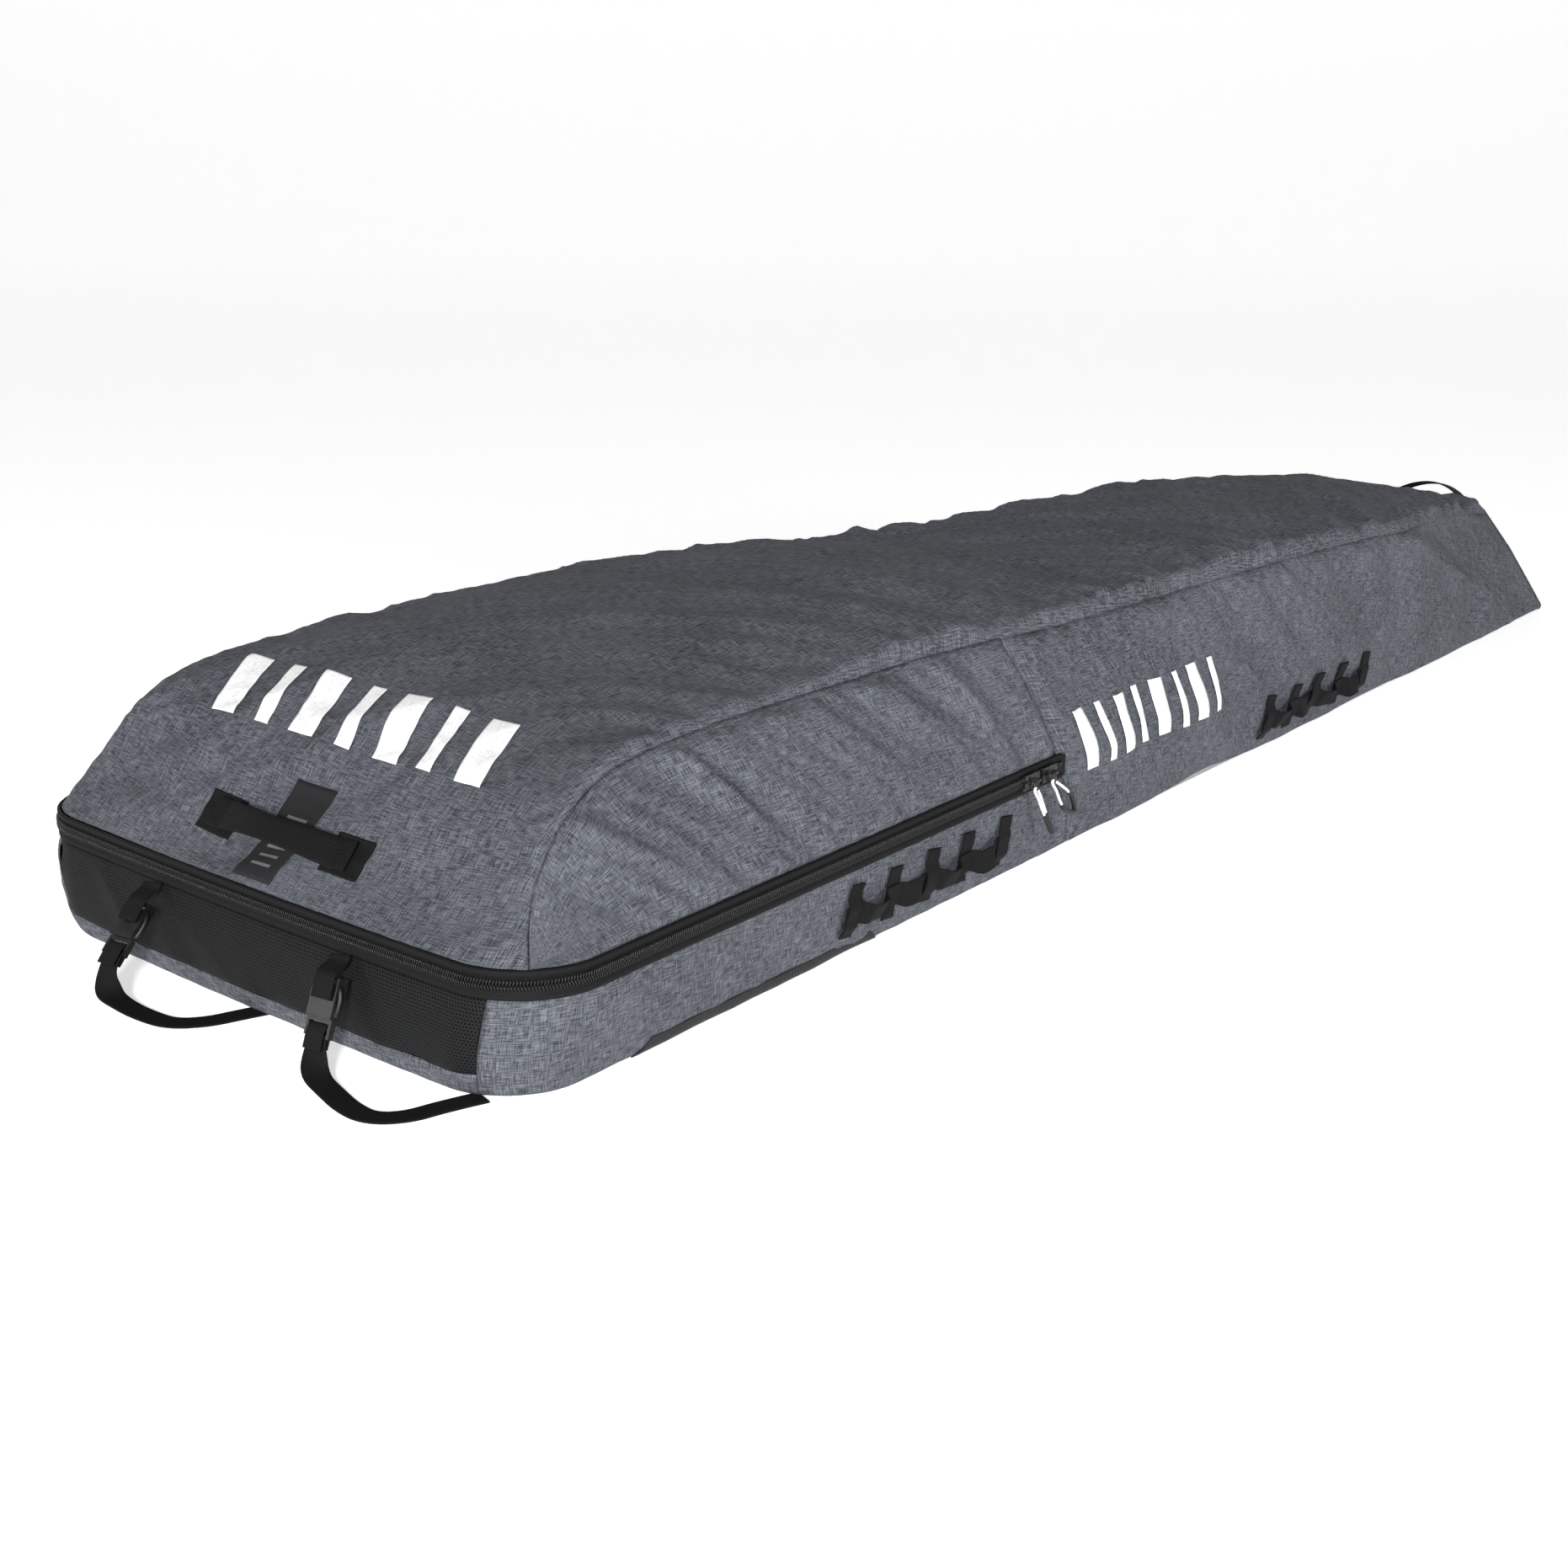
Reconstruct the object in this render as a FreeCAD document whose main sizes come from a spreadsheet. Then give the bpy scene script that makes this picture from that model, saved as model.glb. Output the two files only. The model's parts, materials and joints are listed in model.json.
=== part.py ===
import FreeCAD, Part
import Sketcher
import math
import os

# A padded board bag, lying flat with its zip closed. Millimetres.
# +X runs from the wide front towards the narrow tail, +Z is up, and the bag is symmetric about Y = 0.
# Right is the -Y side and left is the +Y side. The origin is the middle of the flat base, on the floor.

Vector = FreeCAD.Vector
Constraint = Sketcher.Constraint
doc = FreeCAD.newDocument("BoardBag")

# ---------------------------------------------------------------------------------------------
# Driving dimensions
# ---------------------------------------------------------------------------------------------
SIZES = {
    # overall envelope
    "bag_length": 1900.0,
    "floor_half_front": 293.0,
    "floor_half_tail": 68.0,
    "zip_half_front": 311.0,
    "zip_half_tail": 86.0,
    "seam_half_front": 248.0,
    "seam_half_mid": 154.0,
    "zip_level": 90.0,
    "seam_level_front": 217.0,
    "seam_level_rear": 205.0,
    "seam_level_fold": 187.0,
    "crown_front": 252.0,
    "crown_hinge": 240.0,
    "crown_dent": 224.0,
    "crown_rear": 214.0,
    # front end
    "corner_radius": 66.0,
    "front_bow": 4.0,
    "front_bulge": 5.0,
    "strip_height": 21.0,
    "mesh_wrap_deg": 27.0,
    # tail end
    "fold_reach": 512.0,
    "tail_top_reach": 150.0,
    "tail_top_half": 60.0,
    "tail_top_level": 142.0,
    # zip
    "zip_end_reach": 699.0,
    "seam_lean": 57.0,
    "zip_band": 21.0,
    "zip_split": 0.5,
    "coil_width": 4.6,
    "coil_height": 2.8,
    "tape_thick": 1.2,
    "lid_zip_stop": 88.0,
    # layers
    "cloth_thick": 2.0,
    "foam_thick": 8.0,
    "lining_thick": 1.0,
    "layer_gap": 0.2,
    "panel_gap": 0.5,
    "base_thick": 3.0,
    # side handles
    "webbing_width": 20.0,
    "webbing_thick": 1.6,
    "handle_span": 220.0,
    "handle_front_reach": 496.0,
    "handle_rear_reach": 1208.0,
    "loop_width": 16.0,
    "loop_height": 42.0,
    "loop_level": 43.0,
    "webbing_bulge": 10.0,
    # lid grab handle, label and tail handle
    "grab_half": 78.0,
    "patch_width": 40.0,
    "patch_height": 34.0,
    "patch_thick": 1.6,
    "grab_rise": 20.0,
    "grab_width": 24.0,
    "label_width": 46.0,
    "label_height": 86.0,
    "label_thick": 0.9,
    "tail_handle_half": 45.0,
    "tail_handle_rise": 20.0,
    # front buckles
    "buckle_spread": 117.0,
    "buckle_width": 27.0,
    "socket_length": 30.0,
    "socket_thick": 9.0,
    "socket_wall": 1.8,
    "socket_neck": 8.0,
    "plug_frame": 14.0,
    "plug_thick": 4.4,
    "plug_clear": 0.4,
    "prong_length": 20.0,
    "prong_width": 4.0,
    "buckle_travel": 30.0,
    # zip sliders and pulls
    "slider_length": 24.0,
    "slider_width": 13.0,
    "slider_thick": 2.4,
    "slider_clear": 0.5,
    "pull_cord": 3.0,
    "pull_sleeve": 5.6,
    "sleeve_length": 24.0,
    # inner tie-down straps
    "inner_strap_width": 38.0,
    "inner_strap_thick": 1.8,
    # base rub patches
    "rub_start_reach": 134.0,
    "rub_length": 306.0,
    "rub_height": 15.0,
    "rub_thick": 1.4,
}
sheet = doc.addObject("Spreadsheet::Sheet", "Sizes")
for row, (alias, value) in enumerate(SIZES.items(), start=1):
    sheet.set("A%d" % row, alias)
    sheet.set("B%d" % row, str(value))
    sheet.setAlias("B%d" % row, alias)
doc.recompute()


def size(alias):
    """One driving dimension, read from the sheet."""
    return float(sheet.get(alias))


LENGTH = size("bag_length")
FRONT = -LENGTH / 2
TAIL = LENGTH / 2
ZIP = size("zip_level")
CLOTH = size("cloth_thick")
GAP = size("panel_gap")
ZIP_END = FRONT + size("zip_end_reach")
BASE = size("base_thick")
BAND_LOW = ZIP - size("zip_band") / 2
BAND_HIGH = ZIP + size("zip_band") / 2


# ---------------------------------------------------------------------------------------------
# The bag's outline at each height
# ---------------------------------------------------------------------------------------------
def taper(front_half, tail_half, x):
    """Half width of a line that narrows evenly from the front to the tail."""
    return front_half + (tail_half - front_half) * (x - FRONT) / LENGTH


def half_at(level, x):
    """Outer half width of the wall below the zip, between the floor and the zip."""
    low = taper(size("floor_half_front"), size("floor_half_tail"), x)
    high = taper(size("zip_half_front"), size("zip_half_tail"), x)
    return low + (high - low) * min(max(level / ZIP, 0.0), 1.0)


def seam_x(level):
    """The upright side seam at the zip's end leans: it is further forward at the top."""
    top = size("seam_level_rear")
    return ZIP_END - size("seam_lean") * (level - ZIP) / (top - ZIP)


def front_x(level):
    """Foremost point of the front wall, which bulges most a little above the floor."""
    bulge = size("front_bulge") * math.sin(math.pi * min(max(level / ZIP, 0.0), 1.0))
    return FRONT - bulge


def side_angle(level):
    """How far the side walls turn in towards the tail, in radians."""
    return math.atan2(half_at(level, FRONT) - half_at(level, TAIL), LENGTH)


def corner(level):
    """Centre of the front corner's arc on the +Y side."""
    radius = size("corner_radius")
    x = front_x(level) + size("front_bow") + radius
    return Vector(x, half_at(level, x) - radius / math.cos(side_angle(level)), level)


def rim(level, t, proud=0.0, x_end=None):
    """A point of the outline at a height, and its inward direction.

    t runs from 0 at the middle of the front, to 1 where the corner starts, to 2 where it ends and to 3
    at the side seam. It is negative on the left. proud moves the point outwards.
    """
    side = -1.0 if t >= 0 else 1.0
    t = abs(t)
    centre = corner(level)
    turn = side_angle(level)
    if t <= 1:
        out = Vector(-1, 0, 0)
        point = Vector(front_x(level) + size("front_bow") * t * t, side * centre.y * t, level)
    elif t <= 2:
        angle = (t - 1) * (math.pi / 2 + turn)
        out = Vector(-math.cos(angle), side * math.sin(angle), 0)
        point = Vector(centre.x, side * centre.y, level) + out * size("corner_radius")
    else:
        start_x = centre.x + size("corner_radius") * math.sin(turn)
        end_x = seam_x(level) if x_end is None else x_end
        x = start_x + (end_x - start_x) * (t - 2)
        out = Vector(math.sin(turn), side * math.cos(turn), 0)
        point = Vector(x, side * half_at(level, x), level)
    return point + out * proud, out * -1.0


def outline_y(level, x):
    """Half width of the rounded outline at a station: the straight side, or the corner's arc."""
    centre = corner(level)
    radius = size("corner_radius")
    if x >= centre.x + radius * math.sin(side_angle(level)):
        return half_at(level, x)
    return centre.y + math.sqrt(max(radius**2 - (centre.x - x) ** 2, 0.0))


def outline_x(level, y):
    """Foremost point of the outline at a distance from the middle: the bowed front, or the arc."""
    centre = corner(level)
    if abs(y) <= centre.y:
        return front_x(level) + size("front_bow") * (y / centre.y) ** 2
    return centre.x - math.sqrt(max(size("corner_radius") ** 2 - (abs(y) - centre.y) ** 2, 0.0))


# ---------------------------------------------------------------------------------------------
# Shape helpers
# ---------------------------------------------------------------------------------------------
def triangle(a, b, c):
    return Part.Face(Part.makePolygon([a, b, c, a]))


def quad(a, b, c, d):
    """Two triangles over four corners that need not be in one plane."""
    return [triangle(a, b, c), triangle(a, c, d)]


def slab(outer, inner):
    """A closed solid between two grids of points, each a list of rows."""
    rows = len(outer)
    columns = len(outer[0])
    faces = []
    for i in range(rows - 1):
        for j in range(columns - 1):
            faces += quad(outer[i][j], outer[i][j + 1], outer[i + 1][j + 1], outer[i + 1][j])
            faces += quad(inner[i][j], inner[i + 1][j], inner[i + 1][j + 1], inner[i][j + 1])
    for j in range(columns - 1):
        faces += quad(outer[0][j + 1], outer[0][j], inner[0][j], inner[0][j + 1])
        faces += quad(outer[-1][j], outer[-1][j + 1], inner[-1][j + 1], inner[-1][j])
    for i in range(rows - 1):
        faces += quad(outer[i][0], outer[i + 1][0], inner[i + 1][0], inner[i][0])
        faces += quad(outer[i + 1][-1], outer[i][-1], inner[i][-1], inner[i + 1][-1])
    solid = Part.makeSolid(Part.makeShell(faces))
    if solid.Volume < 0:
        solid.reverse()
    return solid


def shift(grid, directions, distance):
    """Every point of a grid moved along its own direction."""
    return [[p + d * distance for p, d in zip(prow, drow)] for prow, drow in zip(grid, directions)]


def layer(grid, inward, start, thick):
    """One layer of a wall: a slab that starts at a depth under the wall's outer face."""
    return slab(shift(grid, inward, start), shift(grid, inward, start + thick))


def spread(low, high, count):
    """Evenly spaced values from low to high."""
    return [low + (high - low) * i / (count - 1) for i in range(count)]


made = []


def part_feature(label, shape):
    """A sub-part whose shape is set from the sheet's values."""
    feature = doc.addObject("Part::Feature", label)
    feature.Label = label
    feature.Shape = shape
    made.append(feature)
    return feature


def origin_plane(body, role):
    return next(f for f in body.Origin.OriginFeatures if f.Role == role)


def rectangle_sketch(body, name, width, height, plane="XY_Plane", centre=(None, None)):
    """A sketch of one rectangle about a centre. Sizes are expressions on the sheet."""
    sketch = body.newObject("Sketcher::SketchObject", name)
    sketch.AttachmentSupport = [(origin_plane(body, plane), "")]
    sketch.MapMode = "FlatFace"
    corners = [Vector(-5, -5, 0), Vector(5, -5, 0), Vector(5, 5, 0), Vector(-5, 5, 0)]
    for i in range(4):
        sketch.addGeometry(Part.LineSegment(corners[i], corners[(i + 1) % 4]), False)
    for i in range(4):
        sketch.addConstraint(Constraint("Coincident", i, 2, (i + 1) % 4, 1))
    sketch.addConstraint([Constraint("Horizontal", 0), Constraint("Horizontal", 2)])
    sketch.addConstraint([Constraint("Vertical", 1), Constraint("Vertical", 3)])
    bound = (("DistanceX", (0, 1, 0, 2), width), ("DistanceY", (1, 1, 1, 2), height))
    for kind, where, expression in bound:
        index = sketch.addConstraint(Constraint(kind, *where, 10.0))
        sketch.setExpression("Constraints[%d]" % index, expression)
    starts = ("(%s) / 2" % width, "(%s) / 2" % height)
    for kind, offset, expression in (("DistanceX", centre[0], starts[0]), ("DistanceY", centre[1], starts[1])):
        index = sketch.addConstraint(Constraint(kind, 0, 1, -1, 1, 5.0))
        sketch.setExpression("Constraints[%d]" % index, expression + (" - (%s)" % offset if offset else ""))
    return sketch


def new_body(label, placement):
    body = doc.addObject("PartDesign::Body", label)
    body.Label = label
    body.Placement = placement
    made.append(body)
    return body


def pad(body, sketch, length):
    feature = body.newObject("PartDesign::Pad", sketch.Name + "_pad")
    feature.Profile = sketch
    feature.setExpression("Length", length)
    return feature


def pocket(body, sketch, length):
    """A cut on both sides of the sketch, which must remove something."""
    doc.recompute()
    before = body.Shape.Volume
    feature = body.newObject("PartDesign::Pocket", sketch.Name + "_pocket")
    feature.Profile = sketch
    feature.Midplane = True
    feature.setExpression("Length", length)
    doc.recompute()
    if body.Shape.Volume >= before - 1.0:
        raise RuntimeError("pocket %s removed nothing from %s" % (sketch.Name, body.Label))
    return feature


def pad_of_cloth(label, width, height, thick, placement):
    """A flat rectangular patch of webbing or cloth, padded upwards from its own XY plane."""
    body = new_body(label, placement)
    pad(body, rectangle_sketch(body, label + "_outline", width, height), thick)
    return body


def frame_at(point, along, normal):
    """A placement whose X is along, whose Z is normal, at a point."""
    z_axis = Vector(normal).normalize()
    x_axis = (along - z_axis * along.dot(z_axis)).normalize()
    y_axis = z_axis.cross(x_axis)
    matrix = FreeCAD.Matrix(
        x_axis.x, y_axis.x, z_axis.x, point.x,
        x_axis.y, y_axis.y, z_axis.y, point.y,
        x_axis.z, y_axis.z, z_axis.z, point.z,
        0, 0, 0, 1,
    )
    return FreeCAD.Placement(matrix)


# ---------------------------------------------------------------------------------------------
# Base
# ---------------------------------------------------------------------------------------------
SIDE_MARKS = [2.0, 2.5]
CORNER_MARKS = [1.25, 1.5, 1.75]
FRONT_MARKS = [0.0, 0.5, 1.0]
BASE_TUCK = 6.0  # the base stands this far inside the walls' outer face


def base_outline(inset):
    """The base's outline, as points round from the tail's right to the tail's left."""
    marks = [2.0] + CORNER_MARKS[::-1] + [1.0]
    right = [rim(0.0, t, -inset)[0] for t in marks]
    left = [Vector(p.x, -p.y, p.z) for p in reversed(right)]
    tail_x = TAIL - inset * 2.0 - 3.0
    tail_y = half_at(0.0, tail_x) - inset
    return [Vector(tail_x, -tail_y, 0)] + right + left + [Vector(tail_x, tail_y, 0)]


def base_layer(label, inset, level, thick):
    """A flat layer of the base, padded from a sketch of the outline."""
    body = new_body(label, FreeCAD.Placement(Vector(0, 0, level), FreeCAD.Rotation()))
    sketch = body.newObject("Sketcher::SketchObject", label + "_outline")
    sketch.AttachmentSupport = [(origin_plane(body, "XY_Plane"), "")]
    sketch.MapMode = "FlatFace"
    points = base_outline(inset)
    for a, b in zip(points, points[1:] + points[:1]):
        sketch.addGeometry(Part.LineSegment(a, b), False)
    for i in range(len(points)):
        sketch.addConstraint(Constraint("Coincident", i, 2, (i + 1) % len(points), 1))
    pad(body, sketch, thick)
    return body


LAYER = size("layer_gap")
FOAM_START = CLOTH + LAYER
FOAM = size("foam_thick")
LINING_START = FOAM_START + FOAM + LAYER
LINING = size("lining_thick")
WALL = LINING_START + LINING
base_layer("base_panel", BASE_TUCK, 0.0, "Sizes.base_thick")
base_layer("base_foam", WALL + 2, BASE + LAYER, "Sizes.foam_thick")
base_layer("base_lining", WALL + 2, BASE + LAYER * 2 + FOAM, "Sizes.lining_thick")

# ---------------------------------------------------------------------------------------------
# Walls below the zip
# ---------------------------------------------------------------------------------------------
MESH_END = 1 + size("mesh_wrap_deg") / (90 + math.degrees(side_angle(ZIP)))
STRIP = size("strip_height")
FOOT = 2.0  # the walls' lower edge stands this far off the floor
BAND_SEAM = 0.3


def wall_rows(levels, marks):
    """Outer points and inward directions of the wall below the zip."""
    grid = [[rim(z, t)[0] for t in marks] for z in levels]
    inward = [[rim(z, t)[1] for t in marks] for z in levels]
    return grid, inward


def front_marks(end):
    inner = [t for t in FRONT_MARKS[1:] + CORNER_MARKS if t < end] + [end]
    return [-t for t in reversed(inner)] + [0.0] + inner


grid, inward = wall_rows([FOOT, STRIP - BAND_SEAM], front_marks(MESH_END))
part_feature("front_strip", layer(grid, inward, 0, CLOTH))
grid, inward = wall_rows([STRIP, 45.0, BAND_LOW - BAND_SEAM], front_marks(MESH_END))
part_feature("front_mesh_panel", layer(grid, inward, 0, CLOTH))
grid, inward = wall_rows([BASE + 1, ZIP - 5], front_marks(MESH_END))
part_feature("front_foam", layer(grid, inward, FOAM_START, FOAM))

SEAM_TRIM = 0.4 / 600.0  # leaves a hair between panels that are sewn edge to edge
for side, name in ((1, "right"), (-1, "left")):
    low_marks = [MESH_END + 0.01] + [t for t in CORNER_MARKS if t > MESH_END] + SIDE_MARKS
    low_marks = [side * t for t in low_marks + [3.0 - SEAM_TRIM]]
    grid, inward = wall_rows([FOOT, 45.0, BAND_LOW - BAND_SEAM], low_marks)
    part_feature("lower_side_" + name, layer(grid, inward, 0, CLOTH))

# ---------------------------------------------------------------------------------------------
# Seam between sides and top, and the crown
# ---------------------------------------------------------------------------------------------
FOLD_X = TAIL - size("fold_reach")
TAIL_TOP_X = TAIL - size("tail_top_reach")
# Height and inset of the lid's seam as it climbs out of the front corner: (reach from the front,
# share of the way from the zip to the seam's full height, distance in from the zip's outline)
CLIMB = [(31.0, 0.02, 2.0), (56.0, 0.40, 36.0), (98.0, 0.77, 43.0), (150.0, 0.93, 49.0), (235.0, 1.0, 53.0)]


def seam_point(x):
    """The sewn seam between a side and the top, on the +Y side."""
    level = size("seam_level_front")
    rear = size("seam_level_rear")
    fold = size("seam_level_fold")
    if x <= ZIP_END:
        start = FRONT + CLIMB[-1][0]
        share = min(max((x - start) / (ZIP_END - start), 0.0), 1.0)
        z = level + (rear - level) * share * share * (3 - 2 * share)
    elif x <= FOLD_X:
        share = (x - ZIP_END) / (FOLD_X - ZIP_END)
        z = rear + (fold - rear) * share * share
    else:
        share = (x - FOLD_X) / (TAIL_TOP_X - FOLD_X)
        z = fold + (size("tail_top_level") - fold) * share
    if x <= FOLD_X:
        share = (x - FRONT) / (FOLD_X - FRONT)
        y = size("seam_half_front") + (size("seam_half_mid") - size("seam_half_front")) * share
    else:
        share = (x - FOLD_X) / (TAIL_TOP_X - FOLD_X)
        y = size("seam_half_mid") + (size("tail_top_half") - size("seam_half_mid")) * share
    return Vector(x, y, z)


def lid_seam(x):
    """The lid's seam on the +Y side, with its climb out of the front corner."""
    reach = x - FRONT
    if reach >= CLIMB[-1][0]:
        return seam_point(x)
    full = size("seam_level_front") - BAND_HIGH
    for (r0, s0, i0), (r1, s1, i1) in zip(CLIMB, CLIMB[1:]):
        if r0 <= reach <= r1:
            t = (reach - r0) / (r1 - r0)
            share = s0 + (s1 - s0) * t
            return Vector(x, outline_y(ZIP, x) - (i0 + (i1 - i0) * t), BAND_HIGH + full * share)
    raise RuntimeError("the lid's seam starts at %.0f" % (FRONT + CLIMB[0][0]))


def crown_at(x):
    """Height of the top's middle line."""
    marks = [
        (FRONT + 235, size("crown_front") - 10),
        (FRONT + 400, size("crown_front")),
        (FRONT + 560, size("crown_front") - 1),
        (ZIP_END, size("crown_hinge")),
        (ZIP_END + 200, size("crown_dent")),
        (FOLD_X - 120, size("crown_rear")),
        (FOLD_X + 120, size("crown_rear") - 24),
        (TAIL_TOP_X, size("tail_top_level") + 10),
    ]
    for (x0, z0), (x1, z1) in zip(marks, marks[1:]):
        if x <= x1:
            t = min(max((x - x0) / (x1 - x0), 0.0), 1.0)
            return z0 + (z1 - z0) * t
    return marks[-1][1]


ACROSS = [-1.0, -0.8, -0.5, 0.0, 0.5, 0.8, 1.0]
HINGE_X = seam_x(size("seam_level_rear"))


def top_row(x):
    """Points across the top at a station, from the right seam to the left."""
    edge = seam_point(x)
    crown = crown_at(x)
    return [Vector(x, edge.y * a, edge.z + (crown - edge.z) * (1 - abs(a) ** 2.4)) for a in ACROSS]


# The lid's front slope rises from the zip to the crown: (set back from the front, height)
SLOPE = [(42.0, 131.0), (73.0, 166.0), (106.0, 193.0), (158.0, 220.0)]
EDGE_REACH = [52.0, 74.0, 98.0, 150.0]
ZIP_TUCK = 2.4  # the lid's lower edge is sewn this far behind the zip's outline
corner_edge = outline_y(ZIP, FRONT + 35.0) - 3.0
lid_foot = []
for a in ACROSS:
    y = corner_edge * a
    lid_foot.append(Vector(outline_x(ZIP, y) + ZIP_TUCK, y, BAND_HIGH + BAND_SEAM))
lid_grid = [lid_foot]
for (back, height), reach in zip(SLOPE, EDGE_REACH):
    edge = lid_seam(FRONT + reach)
    middle_x = front_x(ZIP) + back
    row = []
    for a in ACROSS:
        x = middle_x + (edge.x - middle_x) * abs(a) ** 2.2
        z = height + (edge.z - height) * abs(a) ** 2.4
        row.append(Vector(x, edge.y * a, z))
    lid_grid.append(row)
for x in (FRONT + 235, FRONT + 400, FRONT + 560, HINGE_X - GAP):
    lid_grid.append(top_row(x))
DOWN = Vector(0, 0, -1)
SLOPE_IN = [Vector(0.75, 0, -0.66), Vector(0.7, 0, -0.71), Vector(0.6, 0, -0.8), Vector(0.4, 0, -0.92)]
lid_inward = [[d] * len(ACROSS) for d in SLOPE_IN + [Vector(0.2, 0, -0.98)] + [DOWN] * 4]
part_feature("lid_top_panel", layer(lid_grid, lid_inward, 0, CLOTH))


def squeeze(grid, amount):
    """The same rows, pulled in from both side edges, for a layer that stops short of the seams."""
    result = []
    for row in grid:
        half = row[-1].y
        result.append([Vector(p.x, p.y * (half - amount) / half, p.z) for p in row])
    return result


inner_grid = squeeze(lid_grid[1:], WALL + 3)
inner_inward = lid_inward[1:]
part_feature("lid_foam", layer(inner_grid, inner_inward, FOAM_START + 1, FOAM - 1))
part_feature("lid_lining", layer(inner_grid, inner_inward, LINING_START, LINING))

# Rear top, from the hinge line to the tail's upper edge
REAR_X = [HINGE_X, ZIP_END + 200, FOLD_X - 120, FOLD_X, FOLD_X + 120, TAIL_TOP_X]
rear_grid = [top_row(x) for x in REAR_X]
rear_inward = [[DOWN] * len(ACROSS) for _ in REAR_X]
part_feature("rear_top_panel", layer(rear_grid, rear_inward, 0, CLOTH))
foam_grid = squeeze([top_row(x) for x in REAR_X[:-1] + [TAIL_TOP_X - 40]], WALL + 3)
part_feature("rear_top_foam", layer(foam_grid, rear_inward, FOAM_START, FOAM))

# ---------------------------------------------------------------------------------------------
# Side walls above the zip, and the full-height walls behind it
# ---------------------------------------------------------------------------------------------
SEAM_DROP = 1.6  # the side's upper edge stands under the top panel's edge


def mirrored(point, side):
    """side 1 is the right, at -Y."""
    return Vector(point.x, -point.y * side, point.z)


LID_SIDE_REACH = [37.0, 56.0, 98.0, 150.0, 235.0, 470.0]
STEEP_REACH = 240.0  # up to here the seam climbs, and the side keeps further from the top panel's edge


def lid_side_grid(side):
    """Rows at the zip, halfway up and under the seam, from the front corner to the side seam."""
    low = []
    middle = []
    high = []
    stations = [FRONT + r for r in LID_SIDE_REACH]
    for x in stations + [None]:
        low_x = seam_x(BAND_HIGH) - GAP if x is None else x
        high_x = HINGE_X - GAP if x is None else x
        steep = max(0.0, 1.0 - (high_x - FRONT) / STEEP_REACH)
        top = lid_seam(high_x) - Vector(0, 0.2 + 4.5 * steep, CLOTH + SEAM_DROP + 8.0 * steep)
        foot_y = outline_y(ZIP, low_x) - ZIP_TUCK
        foot = Vector(low_x, foot_y, BAND_HIGH + BAND_SEAM)
        if top.z < foot.z + 1.0:
            top = foot + Vector(0, -0.8, 1.0)
        centre = (foot + top) * 0.5 + Vector(0, 3.0, 0)
        low.append(mirrored(foot, side))
        middle.append(mirrored(centre, side))
        high.append(mirrored(top, side))
    return [low, middle, high]


TAIL_SIDE_X = 6.0  # the tail's lower corners are set in this far from the tip
FOAM_STATIONS = 4  # the padding stops short of the tail


def rear_side_grid(side, low=FOOT):
    """Rows at the floor, the zip's level and the seam, from the side seam to the tail."""
    shares = [0.0, 0.2, 0.4, 0.6, 0.78, 1.0]
    seam_stations = [HINGE_X, ZIP_END + 200, FOLD_X - 120, FOLD_X, FOLD_X + 120, TAIL_TOP_X]
    rows = []
    start_low = seam_x(low)
    end_low = TAIL - TAIL_SIDE_X
    floor = []
    belt = []
    upper = []
    for share, top_x in zip(shares, seam_stations):
        x = start_low + (end_low - start_low) * share
        floor.append(Vector(x, half_at(low, x), low))
        top = seam_point(top_x) - Vector(0, 0.2, CLOTH + SEAM_DROP)
        rise = (ZIP - low) / (top.z - low)
        belt_x = x + (top_x - x) * rise
        if share == 0.0:
            belt_x = ZIP_END
        fold = 1.0 if top_x <= FOLD_X else 1.0 - 0.9 * (top_x - FOLD_X) / (TAIL_TOP_X - FOLD_X)
        straight = floor[-1].y + (top.y - floor[-1].y) * rise
        belt.append(Vector(belt_x, straight + (half_at(ZIP, belt_x) - straight) * fold, ZIP))
        upper.append(top)
    for row in (floor, belt, upper):
        rows.append([mirrored(p, side) for p in row])
    return rows


for side, name in ((1, "right"), (-1, "left")):
    inward_y = Vector(0, side, 0)
    grid = lid_side_grid(side)
    directions = [[inward_y] * len(row) for row in grid]
    part_feature("lid_side_" + name, layer(grid, directions, 0, CLOTH))
    grid = rear_side_grid(side)
    directions = [[inward_y] * len(row) for row in grid]
    part_feature("rear_side_" + name, layer(grid, directions, 0, CLOTH))
    # foam stands behind the outer cloth, up to the zip in front of the seam and to the top behind it
    foam_marks = [side * t for t in [MESH_END + 0.01, 1.5, 1.75, 2.0, 2.5, 3.0 - SEAM_TRIM]]
    grid, inward = wall_rows([BASE + 1, ZIP - 5], foam_marks)
    front_solid = layer(grid, inward, FOAM_START, FOAM)
    grid = [row[:FOAM_STATIONS] for row in rear_side_grid(side, low=BASE + 1)]
    grid[2] = [p - Vector(0, 0, FOAM + 2) for p in grid[2]]
    grid = [[p + Vector(GAP, 0, 0) for p in row] for row in grid]
    directions = [[inward_y] * len(row) for row in grid]
    rear_solid = layer(grid, directions, FOAM_START + 1, FOAM - 1)
    part_feature("side_foam_" + name, Part.makeCompound([front_solid, rear_solid]))

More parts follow.
